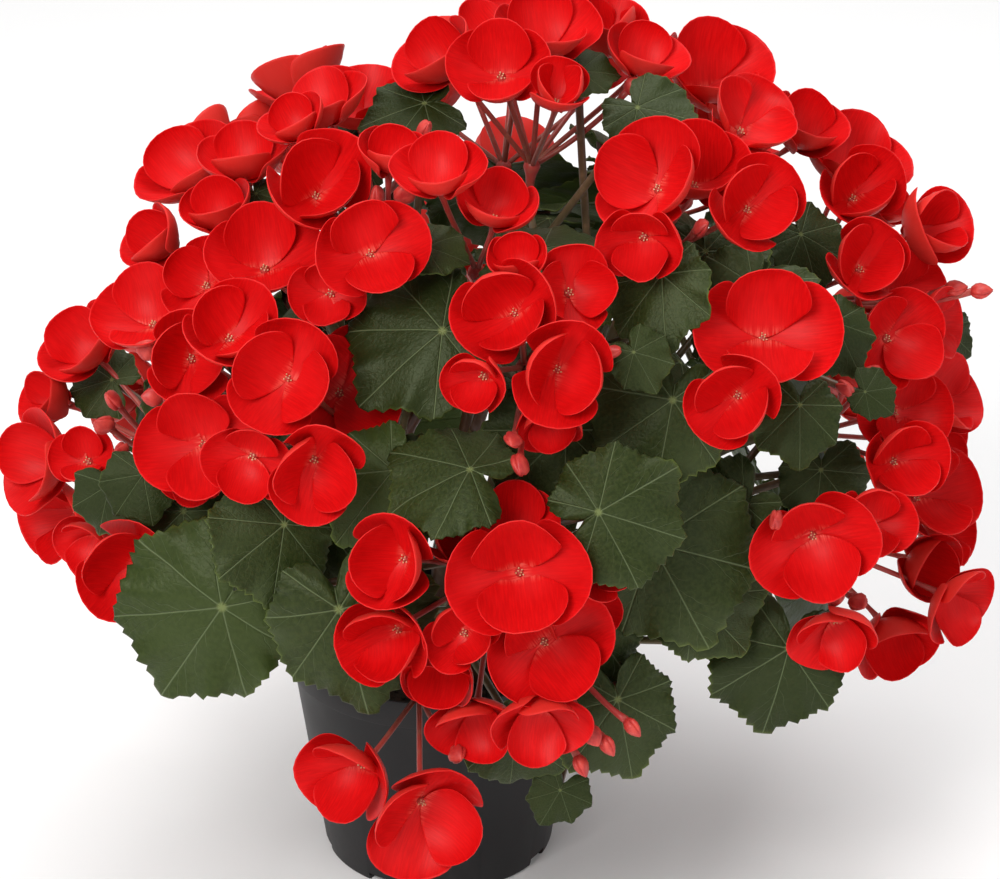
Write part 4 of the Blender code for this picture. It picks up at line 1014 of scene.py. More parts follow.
def pot_guard():
    """A plain cone round the pot that flowers and leaves keep clear of."""
    bm = bmesh.new()
    height = POT_HEIGHT + GUARD
    place = Matrix.Translation((0, 0, height / 2))
    bmesh.ops.create_cone(bm, cap_ends=True, segments=24, radius1=POT_BASE_R + GUARD,
                          radius2=POT_RIM_R + GUARD, depth=height, matrix=place)
    return bm


def grow():
    """Sets the whole plant, as the source does."""
    garden = Garden()
    heads = bloom_frames()
    hubs, growth, shoots = set_stems(garden, heads)
    garden.guard("pot", pot_guard())
    blooms, buds = set_blooms(garden, heads, hubs)
    return Plant(shoots, hubs, blooms, buds, set_leaves(garden, growth))


class Sculpture:
    """Gathers the closed skins of one piece, with the numbers that its materials read."""

    def __init__(self, surfaces):
        self.surfaces = surfaces
        self.points = []
        self.places = []
        self.marks = []
        self.faces = []
        self.fillings = []
        self.count = 0

    def add(self, points, faces, surface, places, marks):
        """Adds a skin: its corners, its triangles, its surface's name and two triples for each corner."""
        self.points.append(points)
        self.places.append(np.broadcast_to(places, points.shape))
        self.marks.append(np.broadcast_to(marks, points.shape))
        self.faces.append(faces + self.count)
        self.fillings.append(np.full(len(faces), self.surfaces.index(surface), dtype=np.int32))
        self.count += len(points)

    def finish(self, name):
        """Makes the piece's object."""
        points = np.concatenate(self.points)
        faces = np.concatenate(self.faces)
        mesh = bpy.data.meshes.new(name)
        mesh.vertices.add(len(points))
        mesh.loops.add(3 * len(faces))
        mesh.polygons.add(len(faces))
        mesh.vertices.foreach_set("co", points.astype(np.float32).ravel())
        mesh.loops.foreach_set("vertex_index", faces.astype(np.int32).ravel())
        mesh.polygons.foreach_set("loop_start", np.arange(0, 3 * len(faces), 3, dtype=np.int32))
        mesh.polygons.foreach_set("material_index", np.concatenate(self.fillings))
        mesh.polygons.foreach_set("use_smooth", np.ones(len(faces), dtype=bool))
        for label, values in (("place", self.places), ("mark", self.marks)):
            layer = mesh.attributes.new(label, "FLOAT_VECTOR", "POINT")
            layer.data.foreach_set("vector", np.concatenate(values).astype(np.float32).ravel())
        for surface in self.surfaces:
            mesh.materials.append(SURFACES[surface])
        mesh.update()
        mesh.validate()
        made = bpy.data.objects.new(name, mesh)
        bpy.context.scene.collection.objects.link(made)
        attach(made, "root")
        return made


SKIN_FACES = {}
SURFACES = {}


def skin_faces(columns, rings):
    """Triangles of a closed skin: a first point, rings of corners round it, and a last point."""
    if (columns, rings) not in SKIN_FACES:
        here = np.arange(columns)
        following = (here + 1) % columns
        last = 1 + columns * rings
        faces = [np.stack([np.zeros(columns, int), 1 + here, 1 + following], axis=1)]
        for number in range(rings - 1):
            start = 1 + columns * number
            a = start + here
            b = start + following
            faces.append(np.stack([a, a + columns, b + columns], axis=1))
            faces.append(np.stack([a, b + columns, b], axis=1))
        start = 1 + columns * (rings - 1)
        faces.append(np.stack([start + here, np.full(columns, last), start + following], axis=1))
        SKIN_FACES[columns, rings] = np.concatenate(faces)
    return SKIN_FACES[columns, rings]


def moved(frame, points):
    """Points of a frame in the world."""
    matrix = np.array(frame)
    return points @ matrix[:3, :3].T + matrix[:3, 3]


def petal_surface(petal, along, across, lift):
    """Points of a petal in its bloom's frame, for arrays."""
    bend = petal.tip - petal.foot
    lean = petal.foot + bend * along
    out = petal.length * (math.cos(petal.foot) - np.cos(lean)) / bend
    height = petal.length * (np.sin(lean) - math.sin(petal.foot)) / bend
    share = np.maximum(fine_outline(along), 1e-4)
    half = petal.width / 2 * share
    cup = petal.cup * share
    rise = half * (1 - np.cos(cup * across)) / cup + lift
    side = half * np.sin(cup * across) / cup
    x = out - rise * np.cos(lean)
    z = height + rise * np.sin(lean)
    c = math.cos(petal.turn)
    s = math.sin(petal.turn)
    return np.stack([x * c - side * s, x * s + side * c, z], axis=-1)


def fine_outline(along):
    """The petal's outline for arrays, rounder at its sides than the solid's."""
    along = np.clip(along, 0, 1)
    foot, tip, greatest = FINE_CURVE
    return along ** foot * np.sqrt(np.maximum(0.0, 1 - along ** tip)) / greatest


def lay_rings(pole, ring_at, tops, unders, rim_from, rim_gain):
    """Lays a blade's rings in order: over its top, round its rim and back under it."""
    pole(1)
    for reach in tops:
        ring_at(reach, 1, max(0, reach - rim_from) * rim_gain)
    ring_at(1.0, 0, 1.0)
    for reach in unders:
        ring_at(reach, -1, max(0, reach - rim_from) * rim_gain)
    pole(-1)


def fine_petal(frame, petal, rng):
    """One petal's skin: a thin cupped blade with a ruffled, slightly curled rim."""
    turn = math.tau * np.arange(PETAL_COLUMNS) / PETAL_COLUMNS
    rim_along = 0.5 - 0.5 * np.cos(turn)
    rim_side = np.sign(np.sin(turn)) * fine_outline(rim_along)
    tint = rng.random()
    phase = rng.uniform(0, math.tau)
    waves = rng.choice(PETAL_WAVES)
    ruffle = RIM_RUFFLE * rng.uniform(0.4, 1.2)
    curl = RIM_CURL * rng.uniform(-0.2, 1.0)
    dent = rng.uniform(-PETAL_DENT, PETAL_DENT)
    points = []
    places = []
    marks = []

    def ring_at(reach, side, rim):
        along = PETAL_HEART + (rim_along - PETAL_HEART) * reach
        half = np.maximum(fine_outline(along), 1e-6)
        across = np.clip(rim_side * reach / half, -1, 1)
        bulge = reach ** 4 * (ruffle * np.sin(waves * turn + phase) + curl * np.sin(turn / 2) ** 4)
        dip = np.exp(-((along - DENT_AT) / DENT_LENGTH) ** 2)
        bulge = bulge + dent * petal.length * dip * np.exp(-(across / DENT_WIDTH) ** 2)
        points.append(petal_surface(petal, along, across, side * PETAL_THIN / 2 + bulge))
        places.append(np.stack([along, across * half, np.full_like(along, tint)], axis=1))
        marks.append(np.tile([rim, float(side < 0), 0], (PETAL_COLUMNS, 1)))

    def pole(side):
        dome = dent * petal.length * math.exp(-((PETAL_HEART - DENT_AT) / DENT_LENGTH) ** 2)
        along = np.array([PETAL_HEART])
        points.append(petal_surface(petal, along, np.array([0.0]), side * PETAL_THIN / 2 + dome))
        places.append(np.array([[PETAL_HEART, 0, tint]]))
        marks.append(np.array([[0, float(side < 0), 0]]))

    lay_rings(pole, ring_at, PETAL_TOP, PETAL_UNDER, PETAL_RIM_FROM, PETAL_RIM_GAIN)
    faces = skin_faces(PETAL_COLUMNS, len(PETAL_TOP) + len(PETAL_UNDER) + 1)[:, ::-1]
    points = moved(frame, np.concatenate(points))
    return points, faces, "petal", np.concatenate(places), np.concatenate(marks)


def fine_tube(sculpture, path, radii, sides, surface, tint):
    """Adds a smooth tube with rounded ends along a path of points."""
    path = [Vector(point) for point in path]
    count = len(path)
    normal = None
    rings = []
    places = []
    length = 0.0
    for number, point in enumerate(path):
        before = path[max(0, number - 1)]
        after = path[min(count - 1, number + 1)]
        tangent = (after - before).normalized()
        if normal is None:
            normal = tangent.orthogonal().normalized()
        normal = (normal - tangent * normal.dot(tangent)).normalized()
        other = tangent.cross(normal)
        length += (point - before).length
        turn = math.tau * np.arange(sides) / sides
        circle = np.outer(np.cos(turn), normal) + np.outer(np.sin(turn), other)
        rings.append(np.array(point) + circle * radii[number])
        places.append(np.tile([number / (count - 1), length, tint], (sides, 1)))
    first = (path[0] - path[1]).normalized() * radii[0] * 0.5
    last = (path[-1] - path[-2]).normalized() * radii[-1] * 0.5
    points = np.concatenate([[np.array(path[0] + first)], *rings, [np.array(path[-1] + last)]])
    places = np.concatenate([[[0, 0, tint]], *places, [[1, length, tint]]])
    sculpture.add(points, skin_faces(sides, count), surface, places, np.zeros(3))


def smooth_path(steers, steps):
    """Points along the curve that these points steer."""
    return [bezier(steers, step / (steps - 1)) for step in range(steps)]


def settled(bed, make):
    """The skins of a bloom or a leaf, moved a little so that they cross least of what is there."""
    best = None
    for shift, shrink in SETTLING:
        frame, skins = make(shift * MM, shrink)
        starts = np.cumsum([0] + [len(entry[0]) for entry in skins])
        points = np.concatenate([entry[0] for entry in skins])
        faces = np.concatenate([entry[1] + start for entry, start in zip(skins, starts)])
        low = points.min(axis=0)
        high = points.max(axis=0)
        near = [other for other, *box in bed if not apart(low, high, *box)]
        tree = BVHTree.FromPolygons(points.tolist(), faces.tolist())
        crossings = sum(len(tree.overlap(other)) for other in near)
        if best is None or crossings < best[0]:
            best = (crossings, frame, skins, (tree, low, high))
        if crossings == 0:
            break
    return best


def fine_bloom(sculpture, bed, bloom, name):
    """Adds a bloom: its petals, the stamens of its eye and the stalk down to its hub."""

    def petals(shift, shrink):
        rng = random.Random(name)
        frame = bloom.frame @ Matrix.Translation((0, 0, shift)) @ Matrix.Scale(shrink, 4)
        return frame, [fine_petal(frame, petal, rng) for petal in bloom.petals]

    _, frame, skins, entry = settled(bed, petals)
    bed.append(entry)
    for skin_parts in skins:
        sculpture.add(*skin_parts)
    rng = random.Random(name)
    base = frame.translation
    normal = bloom.frame.col[2].to_3d()
    for number in range(STAMENS):
        turn = number * GOLDEN_TURN
        spread = STAMEN_SPREAD * math.sqrt((number + 0.5) / STAMENS)
        foot = frame @ Vector((spread * math.cos(turn), spread * math.sin(turn), 0.2 * MM))
        reach = STAMEN_REACH * (1.15 - spread / (2.2 * MM) * 0.5)
        tip = foot + normal * reach + (foot - base) * 0.45
        path = [foot, foot.lerp(tip, 0.5), foot.lerp(tip, 0.8), tip]
        radii = [STAMEN_R * taper for taper in STAMEN_TAPER]
        fine_tube(sculpture, path, radii, STAMEN_SIDES, "stamen", rng.random())
    run = base - bloom.hub
    steers = [bloom.hub, bloom.hub + run * 0.4, base - normal * min(0.35 * run.length, 9 * MM),
              base + normal * 0.6 * MM]
    radii = [PEDICEL_R * 1.15] + [PEDICEL_R * 0.95] * (TUBE_STEPS - 4)
    radii += [PEDICEL_R * 1.15, PEDICEL_TOP_R * 1.1, PEDICEL_TOP_R * 1.25]
    fine_tube(sculpture, smooth_path(steers, TUBE_STEPS), radii, STALK_SIDES, "flower stalk", rng.random())


def fine_bud(sculpture, place, hub, rng):
    """Adds a bud: two closed petals on a thin stalk."""
    out = (place - hub).normalized()
    frame = frame_of(place, out, ACROSS)
    size = BUD_R * rng.uniform(0.85, 1.1)
    turn = math.tau * np.arange(BUD_COLUMNS) / BUD_COLUMNS
    spin = rng.uniform(0, math.tau)
    for side in (1, -1):
        points = [np.array([[0, 0, -1.1 * size]])]
        places = [np.array([[0, 0, spin]])]
        for share in BUD_RINGS:
            level = -1.1 * size + 2.3 * size * share
            radius = size * math.sin(math.pi * share ** 0.85) ** 0.75
            across = radius * np.sin(turn) * 0.42 + side * radius * 0.22
            level = np.full(BUD_COLUMNS, level)
            points.append(np.stack([radius * np.cos(turn) * 0.95, across, level], axis=1))
            places.append(np.tile([share, 0, spin], (BUD_COLUMNS, 1)))
        points.append(np.array([[0, side * 0.1 * size, 1.2 * size]]))
        places.append(np.array([[1, 0, spin]]))
        cos = math.cos(spin)
        sin = math.sin(spin)
        shape = moved(frame, np.concatenate(points) @ np.array([[cos, sin, 0], [-sin, cos, 0], [0, 0, 1]]))
        faces = skin_faces(BUD_COLUMNS, len(BUD_RINGS))
        sculpture.add(shape, faces, "bud", np.concatenate(places), np.zeros(3))
    foot = place - out * 1.1 * size
    sag = Vector((0, 0, -0.08 * (foot - hub).length))
    steers = [hub, hub.lerp(foot, 0.4) + sag, hub.lerp(foot, 0.8) + sag, foot + out * 1 * MM]
    radii = [PEDICEL_R] * (TUBE_STEPS - 2) + [PEDICEL_R * 1.2, PEDICEL_R * 1.4]
    fine_tube(sculpture, smooth_path(steers, TUBE_STEPS), radii, STALK_SIDES, "flower stalk", rng.random())


def leaf_edge(bearing, lop):
    """The leaf's outline for arrays."""
    body = LEAF_BODY + LEAF_LONGER * np.cos(bearing) + lop * np.sin(bearing)
    point = LEAF_POINT * np.exp(-(bearing / LEAF_POINT_WIDTH) ** 2)
    notch = 1 - LEAF_NOTCH * np.exp(-((math.pi - np.abs(bearing)) / LEAF_NOTCH_WIDTH) ** 2)
    return (body + point) * notch


def fine_blade(blade, rng):
    """A leaf blade's skin: lobed, toothed, ruffled at its edge and quilted between its veins."""
    size = blade.size
    fineness = next(fineness for least, fineness in LEAF_FINENESS if size > least)
    columns = LEAF_SIDES * fineness
    bearing = (math.tau * np.arange(columns) / columns + math.pi) % math.tau - math.pi
    outline = leaf_edge(bearing, blade.lop)
    lobe = 1 - 2 * np.abs(np.sin(LEAF_LOBES / 2 * bearing)) ** 0.8
    order = np.where(bearing < 0, columns - np.arange(columns), np.arange(columns))
    teeth = np.array([rng.uniform(*TEETH) for _ in range(columns)])
    serration = np.array(SERRATION)[order % len(SERRATION)] * teeth[order // len(SERRATION)]
    tint = rng.random()
    phases = [rng.uniform(0, math.tau) for _ in range(2)]
    ruffles = rng.choice(LEAF_RUFFLES)
    points = []
    places = []
    marks = []

    def ring_at(reach, side, rim):
        fringe = max(0.0, (reach - LEAF_FRINGE_FROM) / 0.3)
        stretch = 1 + LOBE_DEPTH * lobe * fringe + SERRATION_DEPTH * serration * fringe ** 3
        radius = size * outline * reach * stretch
        fold = blade.wave * np.sin(3 * bearing + blade.phase) - blade.droop
        between = np.abs(np.sin(LEAF_LOBES / 2 * bearing)) ** 0.7
        quilt = QUILT * between * math.sin(math.pi * min(1.0, reach * 1.05)) * (size / (60 * MM))
        ruffle = np.sin(ruffles * bearing + phases[0]) + 0.5 * np.sin(SMALL_RUFFLES * bearing + phases[1])
        x = radius * np.cos(bearing)
        y = radius * np.sin(bearing)
        across, along = LEAF_WRINKLES
        crumple = CRUMPLE * size * np.sin(x * across + phases[0]) * np.sin(y * along + phases[1]) * reach
        lift = side * LEAF_THIN / 2 + quilt + crumple + RUFFLE_SHARE * size * reach ** 5 * ruffle
        lift = lift + radius * fold * reach ** 0.4
        points.append(np.stack([x, y, lift], axis=1))
        places.append(np.stack([x / size, y / size, np.full(columns, tint)], axis=1))
        marks.append(np.tile([rim, float(side < 0), 0], (columns, 1)))

    def pole(side):
        points.append(np.array([[0, 0, side * LEAF_THIN / 2]]))
        places.append(np.array([[0, 0, tint]]))
        marks.append(np.array([[0, float(side < 0), 0]]))

    lay_rings(pole, ring_at, LEAF_TOP_RINGS, LEAF_UNDER_RINGS, LEAF_RIM_FROM, LEAF_RIM_GAIN)
    faces = skin_faces(columns, len(LEAF_TOP_RINGS) + len(LEAF_UNDER_RINGS) + 1)
    points = moved(blade.frame, np.concatenate(points))
    return points, faces, "leaf", np.concatenate(places), np.concatenate(marks)


def blade_maker(leaf, name):
    """What makes a leaf's blade at a small move."""

    def make(shift, shrink):
        frame = leaf.blade.frame @ Matrix.Translation((0, 0, shift))
        blade = leaf.blade._replace(frame=frame, size=leaf.blade.size * shrink)
        return frame, [fine_blade(blade, random.Random(name))]

    return make


def fine_leaf(sculpture, bed, leaf, name, allowed=None):
    """Adds a leaf with its stalk. One that would cross more than is allowed is left out."""
    crossings, frame, skins, entry = settled(bed, blade_maker(leaf, name))
    if allowed is not None and crossings > allowed:
        return
    bed.append(entry)
    sculpture.add(*skins[0])
    head = frame.translation
    down = -frame.col[2].to_3d()
    run = leaf.foot - head
    steers = [head + down * 1.1 * MM, head + down * min(12 * MM, 0.4 * run.length)]
    steers += [leaf.foot - run * 0.3, leaf.foot]
    radii = [PETIOLE_R * 0.6, PETIOLE_R * 0.75] + [PETIOLE_R * 0.82] * (TUBE_STEPS - 4)
    radii += [PETIOLE_R * 0.95, PETIOLE_R]
    path = smooth_path(steers, TUBE_STEPS)
    fine_tube(sculpture, path, radii, STALK_SIDES, "stem", random.Random(name).random())


def fine_stem(sculpture, shoot, rng):
    """Adds a stem or branch along its curve, with slight swellings at its nodes."""
    path = [shoot.start] if shoot.start else []
    path += smooth_path(shoot.steers, TUBE_STEPS + 4)
    if shoot.end:
        path.append(shoot.end)
    radii = []
    for number in range(len(path)):
        share = number / (len(path) - 1)
        swell = 1 + SWELL * math.exp(-(((share * SWELLINGS) % 1 - 0.5) / SWELL_LENGTH) ** 2)
        radii.append((shoot.thick * (1 - share) + shoot.thin * share) * swell)
    sides = TRUNK_SIDES if shoot.start else STALK_SIDES + 2
    fine_tube(sculpture, path, radii, sides, "stem", rng.random())


def fine_peduncle(sculpture, start, hub, rng):
    """Adds the stalk of a head and the hub at its end."""
    out = (hub - start).normalized()
    end = hub + out * HUB_R * 0.9
    path = [start.lerp(end, step / 9) for step in range(10)]
    radii = [PEDUNCLE_R * swell for swell in PEDUNCLE_SWELL] + [HUB_R * swell for swell in HUB_SWELL]
    fine_tube(sculpture, path, radii, STALK_SIDES + 2, "flower stalk", rng.random())


class Surface:
    """A new material, and short ways to add shader nodes to it."""

    def __init__(self, name, roughness, specular):
        self.material = bpy.data.materials.new(name)
        self.material.use_nodes = True
        self.tree = self.material.node_tree
        self.shader = self.tree.nodes["Principled BSDF"]
        self.set("Roughness", roughness)
        self.set("Specular IOR Level", specular)
        SURFACES[name] = self.material

    def set(self, label, value):
        """Sets one of the shader's inputs, or joins a node to it."""
        self.feed(self.shader.inputs[label], value)

    def scatter(self, weight, radius, scale):
        """Lets light scatter under the skin."""
        self.set("Subsurface Weight", weight)
        self.set("Subsurface Radius", radius)
        self.set("Subsurface Scale", scale)

    def node(self, kind, **settings):
        made = self.tree.nodes.new(kind)
        for key, value in settings.items():
            setattr(made, key, value)
        return made

    def feed(self, socket, value):
        if isinstance(value, bpy.types.NodeSocket):
            self.tree.links.new(value, socket)
        else:
            socket.default_value = value

    def math(self, operation, *values):
        made = self.node("ShaderNodeMath", operation=operation)
        for socket, value in zip(made.inputs, values):
            self.feed(socket, value)
        return made.outputs[0]

    def times(self, first, second):
        return self.math("MULTIPLY", first, second)

    def plus(self, first, second):
        return self.math("ADD", first, second)

    def minus(self, first, second):
        return self.math("SUBTRACT", first, second)

    def smooth(self, value, low, high):
        """0 below low, 1 above high, smooth between them."""
        made = self.node("ShaderNodeMapRange", interpolation_type="SMOOTHSTEP")
        for socket, entry in zip(made.inputs, (value, low, high, 0.0, 1.0)):
            self.feed(socket, entry)
        return made.outputs[0]

    def mix(self, share, first, second):
        made = self.node("ShaderNodeMix", data_type="RGBA")
        self.feed(made.inputs[0], share)
        for socket, colour in ((made.inputs[6], first), (made.inputs[7], second)):
            self.feed(socket, (*colour, 1) if isinstance(colour, tuple) else colour)
        return made.outputs[2]

    def layer(self, base, colour, share, strength):
        """The base with a colour over it, as much as share and strength say."""
        return self.mix(self.times(share, strength), base, colour)

    def noise(self, vector, scale, detail=2.0, roughness=0.5):
        made = self.node("ShaderNodeTexNoise")
        self.feed(made.inputs["Vector"], vector)
        made.inputs["Scale"].default_value = scale
        made.inputs["Detail"].default_value = detail
        made.inputs["Roughness"].default_value = roughness
        return made.outputs[0]

    def attribute(self, name):
        """An attribute's three numbers."""
        made = self.node("ShaderNodeAttribute", attribute_name=name)
        split = self.node("ShaderNodeSeparateXYZ")
        self.feed(split.inputs[0], made.outputs["Vector"])
        return split.outputs

    def vector(self, *values):
        made = self.node("ShaderNodeCombineXYZ")
        for socket, value in zip(made.inputs, values):
            self.feed(socket, value)
        return made.outputs[0]

    def position(self):
        return self.node("ShaderNodeNewGeometry").outputs["Position"]

    def bump(self, height, strength, distance):
        made = self.node("ShaderNodeBump")
        made.inputs["Strength"].default_value = strength
        made.inputs["Distance"].default_value = distance
        self.feed(made.inputs["Height"], height)
        self.set("Normal", made.outputs[0])


def petal_material():
    """Red petal: fine lengthwise veins, a paler rim painted as a highlight, a salmon back and a pink foot.
    """
    nodes = Surface("petal", 0.46, 0.14)
    along, across, tint = nodes.attribute("place")
    rim, back, _ = nodes.attribute("mark")
    spread = nodes.vector(nodes.times(across, 9.0), nodes.times(along, 1.1), nodes.times(tint, 37.0))
    streaks = nodes.noise(spread, 3.2, 3.0, 0.6)
    patches = nodes.noise(nodes.position(), 60.0, 2.0)
    base = nodes.mix(nodes.smooth(streaks, 0.35, 0.7), *PETAL_REDS)
    base = nodes.layer(base, PETAL_PATCH, nodes.smooth(patches, 0.4, 0.75), 0.4)
    base = nodes.layer(base, PETAL_BACK, back, 0.75)
    # A paler band at the rim: a painted highlight where light catches the petal's edge
    base = nodes.layer(base, PETAL_RIM_HIGHLIGHT, nodes.smooth(rim, 0.75, 1.0), 0.35)
    foot = nodes.times(nodes.smooth(along, 0.16, 0.02), nodes.smooth(streaks, 0.4, 0.6))
    base = nodes.layer(base, PETAL_FOOT, foot, 0.4)
    nodes.set("Base Color", base)
    nodes.scatter(0.12, (1.0, 0.12, 0.08), 2.5 * MM)
    nodes.bump(streaks, 0.25, 0.25 * MM)


def leaf_material():
    """Dark green leaf: fanned veins with side veins, quilting, lighter patches that are partly painted
    sheen, a yellow-green fringe that shows only in those patches, and a pale back.
    """
    nodes = Surface("leaf", 0.45, 0.24)
    x, y, tint = nodes.attribute("place")
    rim, back, _ = nodes.attribute("mark")
    bearing = nodes.math("ARCTAN2", y, x)
    radius = nodes.math("SQRT", nodes.plus(nodes.times(x, x), nodes.times(y, y)))
    swing = nodes.math("ABSOLUTE", nodes.math("SINE", nodes.times(bearing, LEAF_LOBES / 2)))
    off = nodes.times(swing, nodes.times(radius, 2 / LEAF_LOBES))
    main = nodes.smooth(off, 0.009, 0.001)
    wander = nodes.noise(nodes.vector(x, y, tint), 9.0, 1.0)
    flank = nodes.math("SIGN", nodes.math("SINE", nodes.times(bearing, LEAF_LOBES)))
    rise = nodes.minus(nodes.plus(radius, nodes.times(flank, 0.025)), nodes.times(off, 1.9))
    rise = nodes.plus(rise, nodes.times(wander, 0.1))
    rise = nodes.math("FRACT", nodes.times(rise, 9.0))
    side = nodes.smooth(nodes.math("ABSOLUTE", nodes.minus(rise, 0.5)), 0.06, 0.0)
    side = nodes.times(side, nodes.smooth(swing, 0.95, 0.35))
    side = nodes.times(side, nodes.smooth(radius, 0.06, 0.16))
    veins = nodes.math("MAXIMUM", main, nodes.times(side, 0.45))
    cells = nodes.noise(nodes.vector(x, y, tint), 34.0, 3.0, 0.6)
    # Lighter patches in random places: partly the leaf's own tone, partly painted sheen
    patch_and_sheen = nodes.noise(nodes.position(), 28.0, 2.0)
    base = nodes.mix(nodes.smooth(cells, 0.3, 0.7), *LEAF_GREENS)
    base = nodes.layer(base, LEAF_PATCH_AND_SHEEN, nodes.smooth(patch_and_sheen, 0.35, 0.75), 0.6)
    base = nodes.layer(base, LEAF_FRESH, nodes.smooth(tint, 0.85, 1.0), 0.35)
    base = nodes.layer(base, LEAF_DARK, nodes.smooth(tint, 0.5, 0.0), 0.6)
    base = nodes.layer(base, LEAF_VEIN, veins, 0.7)
    base = nodes.mix(nodes.smooth(radius, 0.04, 0.015), base, LEAF_MIDDLE)
    base = nodes.layer(base, LEAF_BACK, back, 0.8)
    # The pale margin is kept to the painted sheen patches: partly the leaf's own margin, partly painted
    # light on its edge
    fringe = nodes.times(nodes.smooth(rim, 0.4, 1.0), nodes.smooth(patch_and_sheen, 0.4, 0.65))
    base = nodes.layer(base, LEAF_FRINGE_AND_LIT_EDGE, fringe, 0.75)
    nodes.set("Base Color", base)
    relief = nodes.minus(nodes.times(cells, 0.7), nodes.times(veins, 0.8))
    nodes.set("Specular Tint", LEAF_SHINE)
    nodes.bump(relief, 0.7, 0.8 * MM)


def stalk_material(name, first, second, roughness):
    """A fleshy stalk that changes from one colour to the other along its length, with faint spots."""
    nodes = Surface(name, roughness, 0.45)
    along, _, tint = nodes.attribute("place")
    spots = nodes.noise(nodes.position(), 240.0, 2.0)
    change = nodes.plus(nodes.times(along, 0.7), nodes.times(tint, 0.4))
    base = nodes.mix(nodes.smooth(change, 0.1, 0.95), first, second)
    base = nodes.layer(base, STALK_SPOT, nodes.smooth(spots, 0.5, 0.75), 0.35)
    nodes.set("Base Color", base)
    nodes.scatter(0.08, (1.0, 0.4, 0.2), 1.5 * MM)
    nodes.bump(spots, 0.25, 0.3 * MM)


def small_material(name, dark, pale, scale, roughness):
    """A mottled surface between two colours."""
    nodes = Surface(name, roughness, 0.4)
    patches = nodes.noise(nodes.position(), scale, 4.0, 0.6)
    nodes.set("Base Color", nodes.mix(nodes.smooth(patches, 0.3, 0.7), dark, pale))
    nodes.bump(patches, 0.5, 0.5 * MM)


def pot_material():
    """Charcoal moulded plastic with a faint grain and scuffs."""
    nodes = Surface("pot plastic", 0.45, 0.3)
    grain = nodes.noise(nodes.position(), 1400.0, 2.0)
    scuffs = nodes.noise(nodes.position(), 55.0, 5.0, 0.65)
    base = nodes.mix(nodes.smooth(scuffs, 0.45, 0.8), *POT_BLACKS)
    nodes.set("Base Color", base)
    rough = nodes.plus(0.4, nodes.times(scuffs, 0.2))
    nodes.set("Roughness", rough)
    nodes.bump(grain, 0.25, 0.08 * MM)


def make_materials():
    """Makes every surface of the plant and its pot."""
    petal_material()
    leaf_material()
    stalk_material("stem", *STEM_REDS, 0.4)
    stalk_material("flower stalk", *STALK_REDS, 0.42)
    small_material("bud", *BUD_REDS, 260.0, 0.45)
    small_material("stamen", *STAMEN_YELLOWS, 700.0, 0.6)
    small_material("soil", *SOIL_BROWNS, 420.0, 0.95)
    pot_material()


def turned(name, profile, surface):
    """A turned solid from a closed profile of (radius, height), outer side downwards."""
    mesh = bpy.data.meshes.new(name)
    points = [(radius, 0, height) for radius, height in profile]
    mesh.from_pydata(points, [(i, i + 1) for i in range(len(points) - 1)], [])
    made = bpy.data.objects.new(name, mesh)
    bpy.context.scene.collection.objects.link(made)
    screw = made.modifiers.new("turn", "SCREW")
    screw.steps = FINE_SIDES
    screw.render_steps = FINE_SIDES
    screw.use_merge_vertices = True
    screw.merge_threshold = MERGE
    mesh.materials.append(SURFACES[surface])
    return made


def apply_modifiers(made):
    """Puts what the modifiers make into the object's own mesh."""
    mesh = bpy.data.meshes.new_from_object(made.evaluated_get(bpy.context.evaluated_depsgraph_get()))
    made.modifiers.clear()
    made.data = mesh


def cut_away(target, shapes):
    """Cuts shapes out of a solid."""
    helpers = []
    for bm in shapes:
        mesh = bpy.data.meshes.new("cutter")
        bm.to_mesh(mesh)
        tool = bpy.data.objects.new("cutter", mesh)
        bpy.context.scene.collection.objects.link(tool)
        modifier = target.modifiers.new("cut", "BOOLEAN")
        modifier.operation = "DIFFERENCE"
        modifier.object = tool
        helpers.append(tool)
    apply_modifiers(target)
    for tool in helpers:
        bpy.data.objects.remove(tool)


def fine_pot():
    """The nursery pot, with rounded edges on its rim and foot."""
    shoulder = POT_HEIGHT - RIM_DEPTH
    edge = POT_EDGE
    profile = (
        (0, FLOOR_THICK), (pot_inner_radius(FLOOR_THICK), FLOOR_THICK),
        (pot_inner_radius(shoulder), shoulder), (POT_RIM_R - POT_WALL - 1 * MM, shoulder + 2 * MM),
        (POT_RIM_R - POT_WALL, POT_HEIGHT - edge), (POT_RIM_R - POT_WALL + edge / 2, POT_HEIGHT),
        (POT_RIM_R - edge / 2, POT_HEIGHT), (POT_RIM_R, POT_HEIGHT - edge),
        (POT_RIM_R - 1 * MM + edge / 6, shoulder + edge), (POT_RIM_R - 1 * MM - edge / 2, shoulder),
        (POT_WALL_TOP_R + edge, shoulder), (POT_WALL_TOP_R - edge / 8, shoulder - edge),
        (POT_BASE_R, 2 * MM), (POT_BASE_R - 0.5 * MM, 0.6 * MM), (POT_BASE_R - 1.5 * MM, 0), (0, 0),
    )
    pot = turned("pot_fine", profile, "pot plastic")
    shapes = []
    for number in range(NOTCHES):
        out = direction(number * 360 / NOTCHES + NOTCH_TURN, 0)
        notch = bmesh.new()
        size = Matrix.Diagonal((NOTCH_CUT, NOTCH_WIDTH, 2 * NOTCH_HEIGHT, 1))
        place = frame_of(out * POT_BASE_R, Vector((0, 0, 1)), out)
        bmesh.ops.create_cube(notch, size=1, matrix=place @ size)
        shapes.append(notch)
    for number in range(DRAINS):
        drain = bmesh.new()
        place = Matrix.Translation(direction(number * 360 / DRAINS + DRAIN_TURN, 0) * DRAIN_RING_R)
        bmesh.ops.create_cone(drain, cap_ends=True, segments=DRAIN_SIDES, radius1=DRAIN_R, radius2=DRAIN_R,
                              depth=4 * FLOOR_THICK, matrix=place)
        shapes.append(drain)
    cut_away(pot, shapes)
    for polygon in pot.data.polygons:
        polygon.use_smooth = True
    pot.data.set_sharp_from_angle(angle=math.radians(POT_SHARP))
    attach(pot, "root")
    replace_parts(pot, "pot")


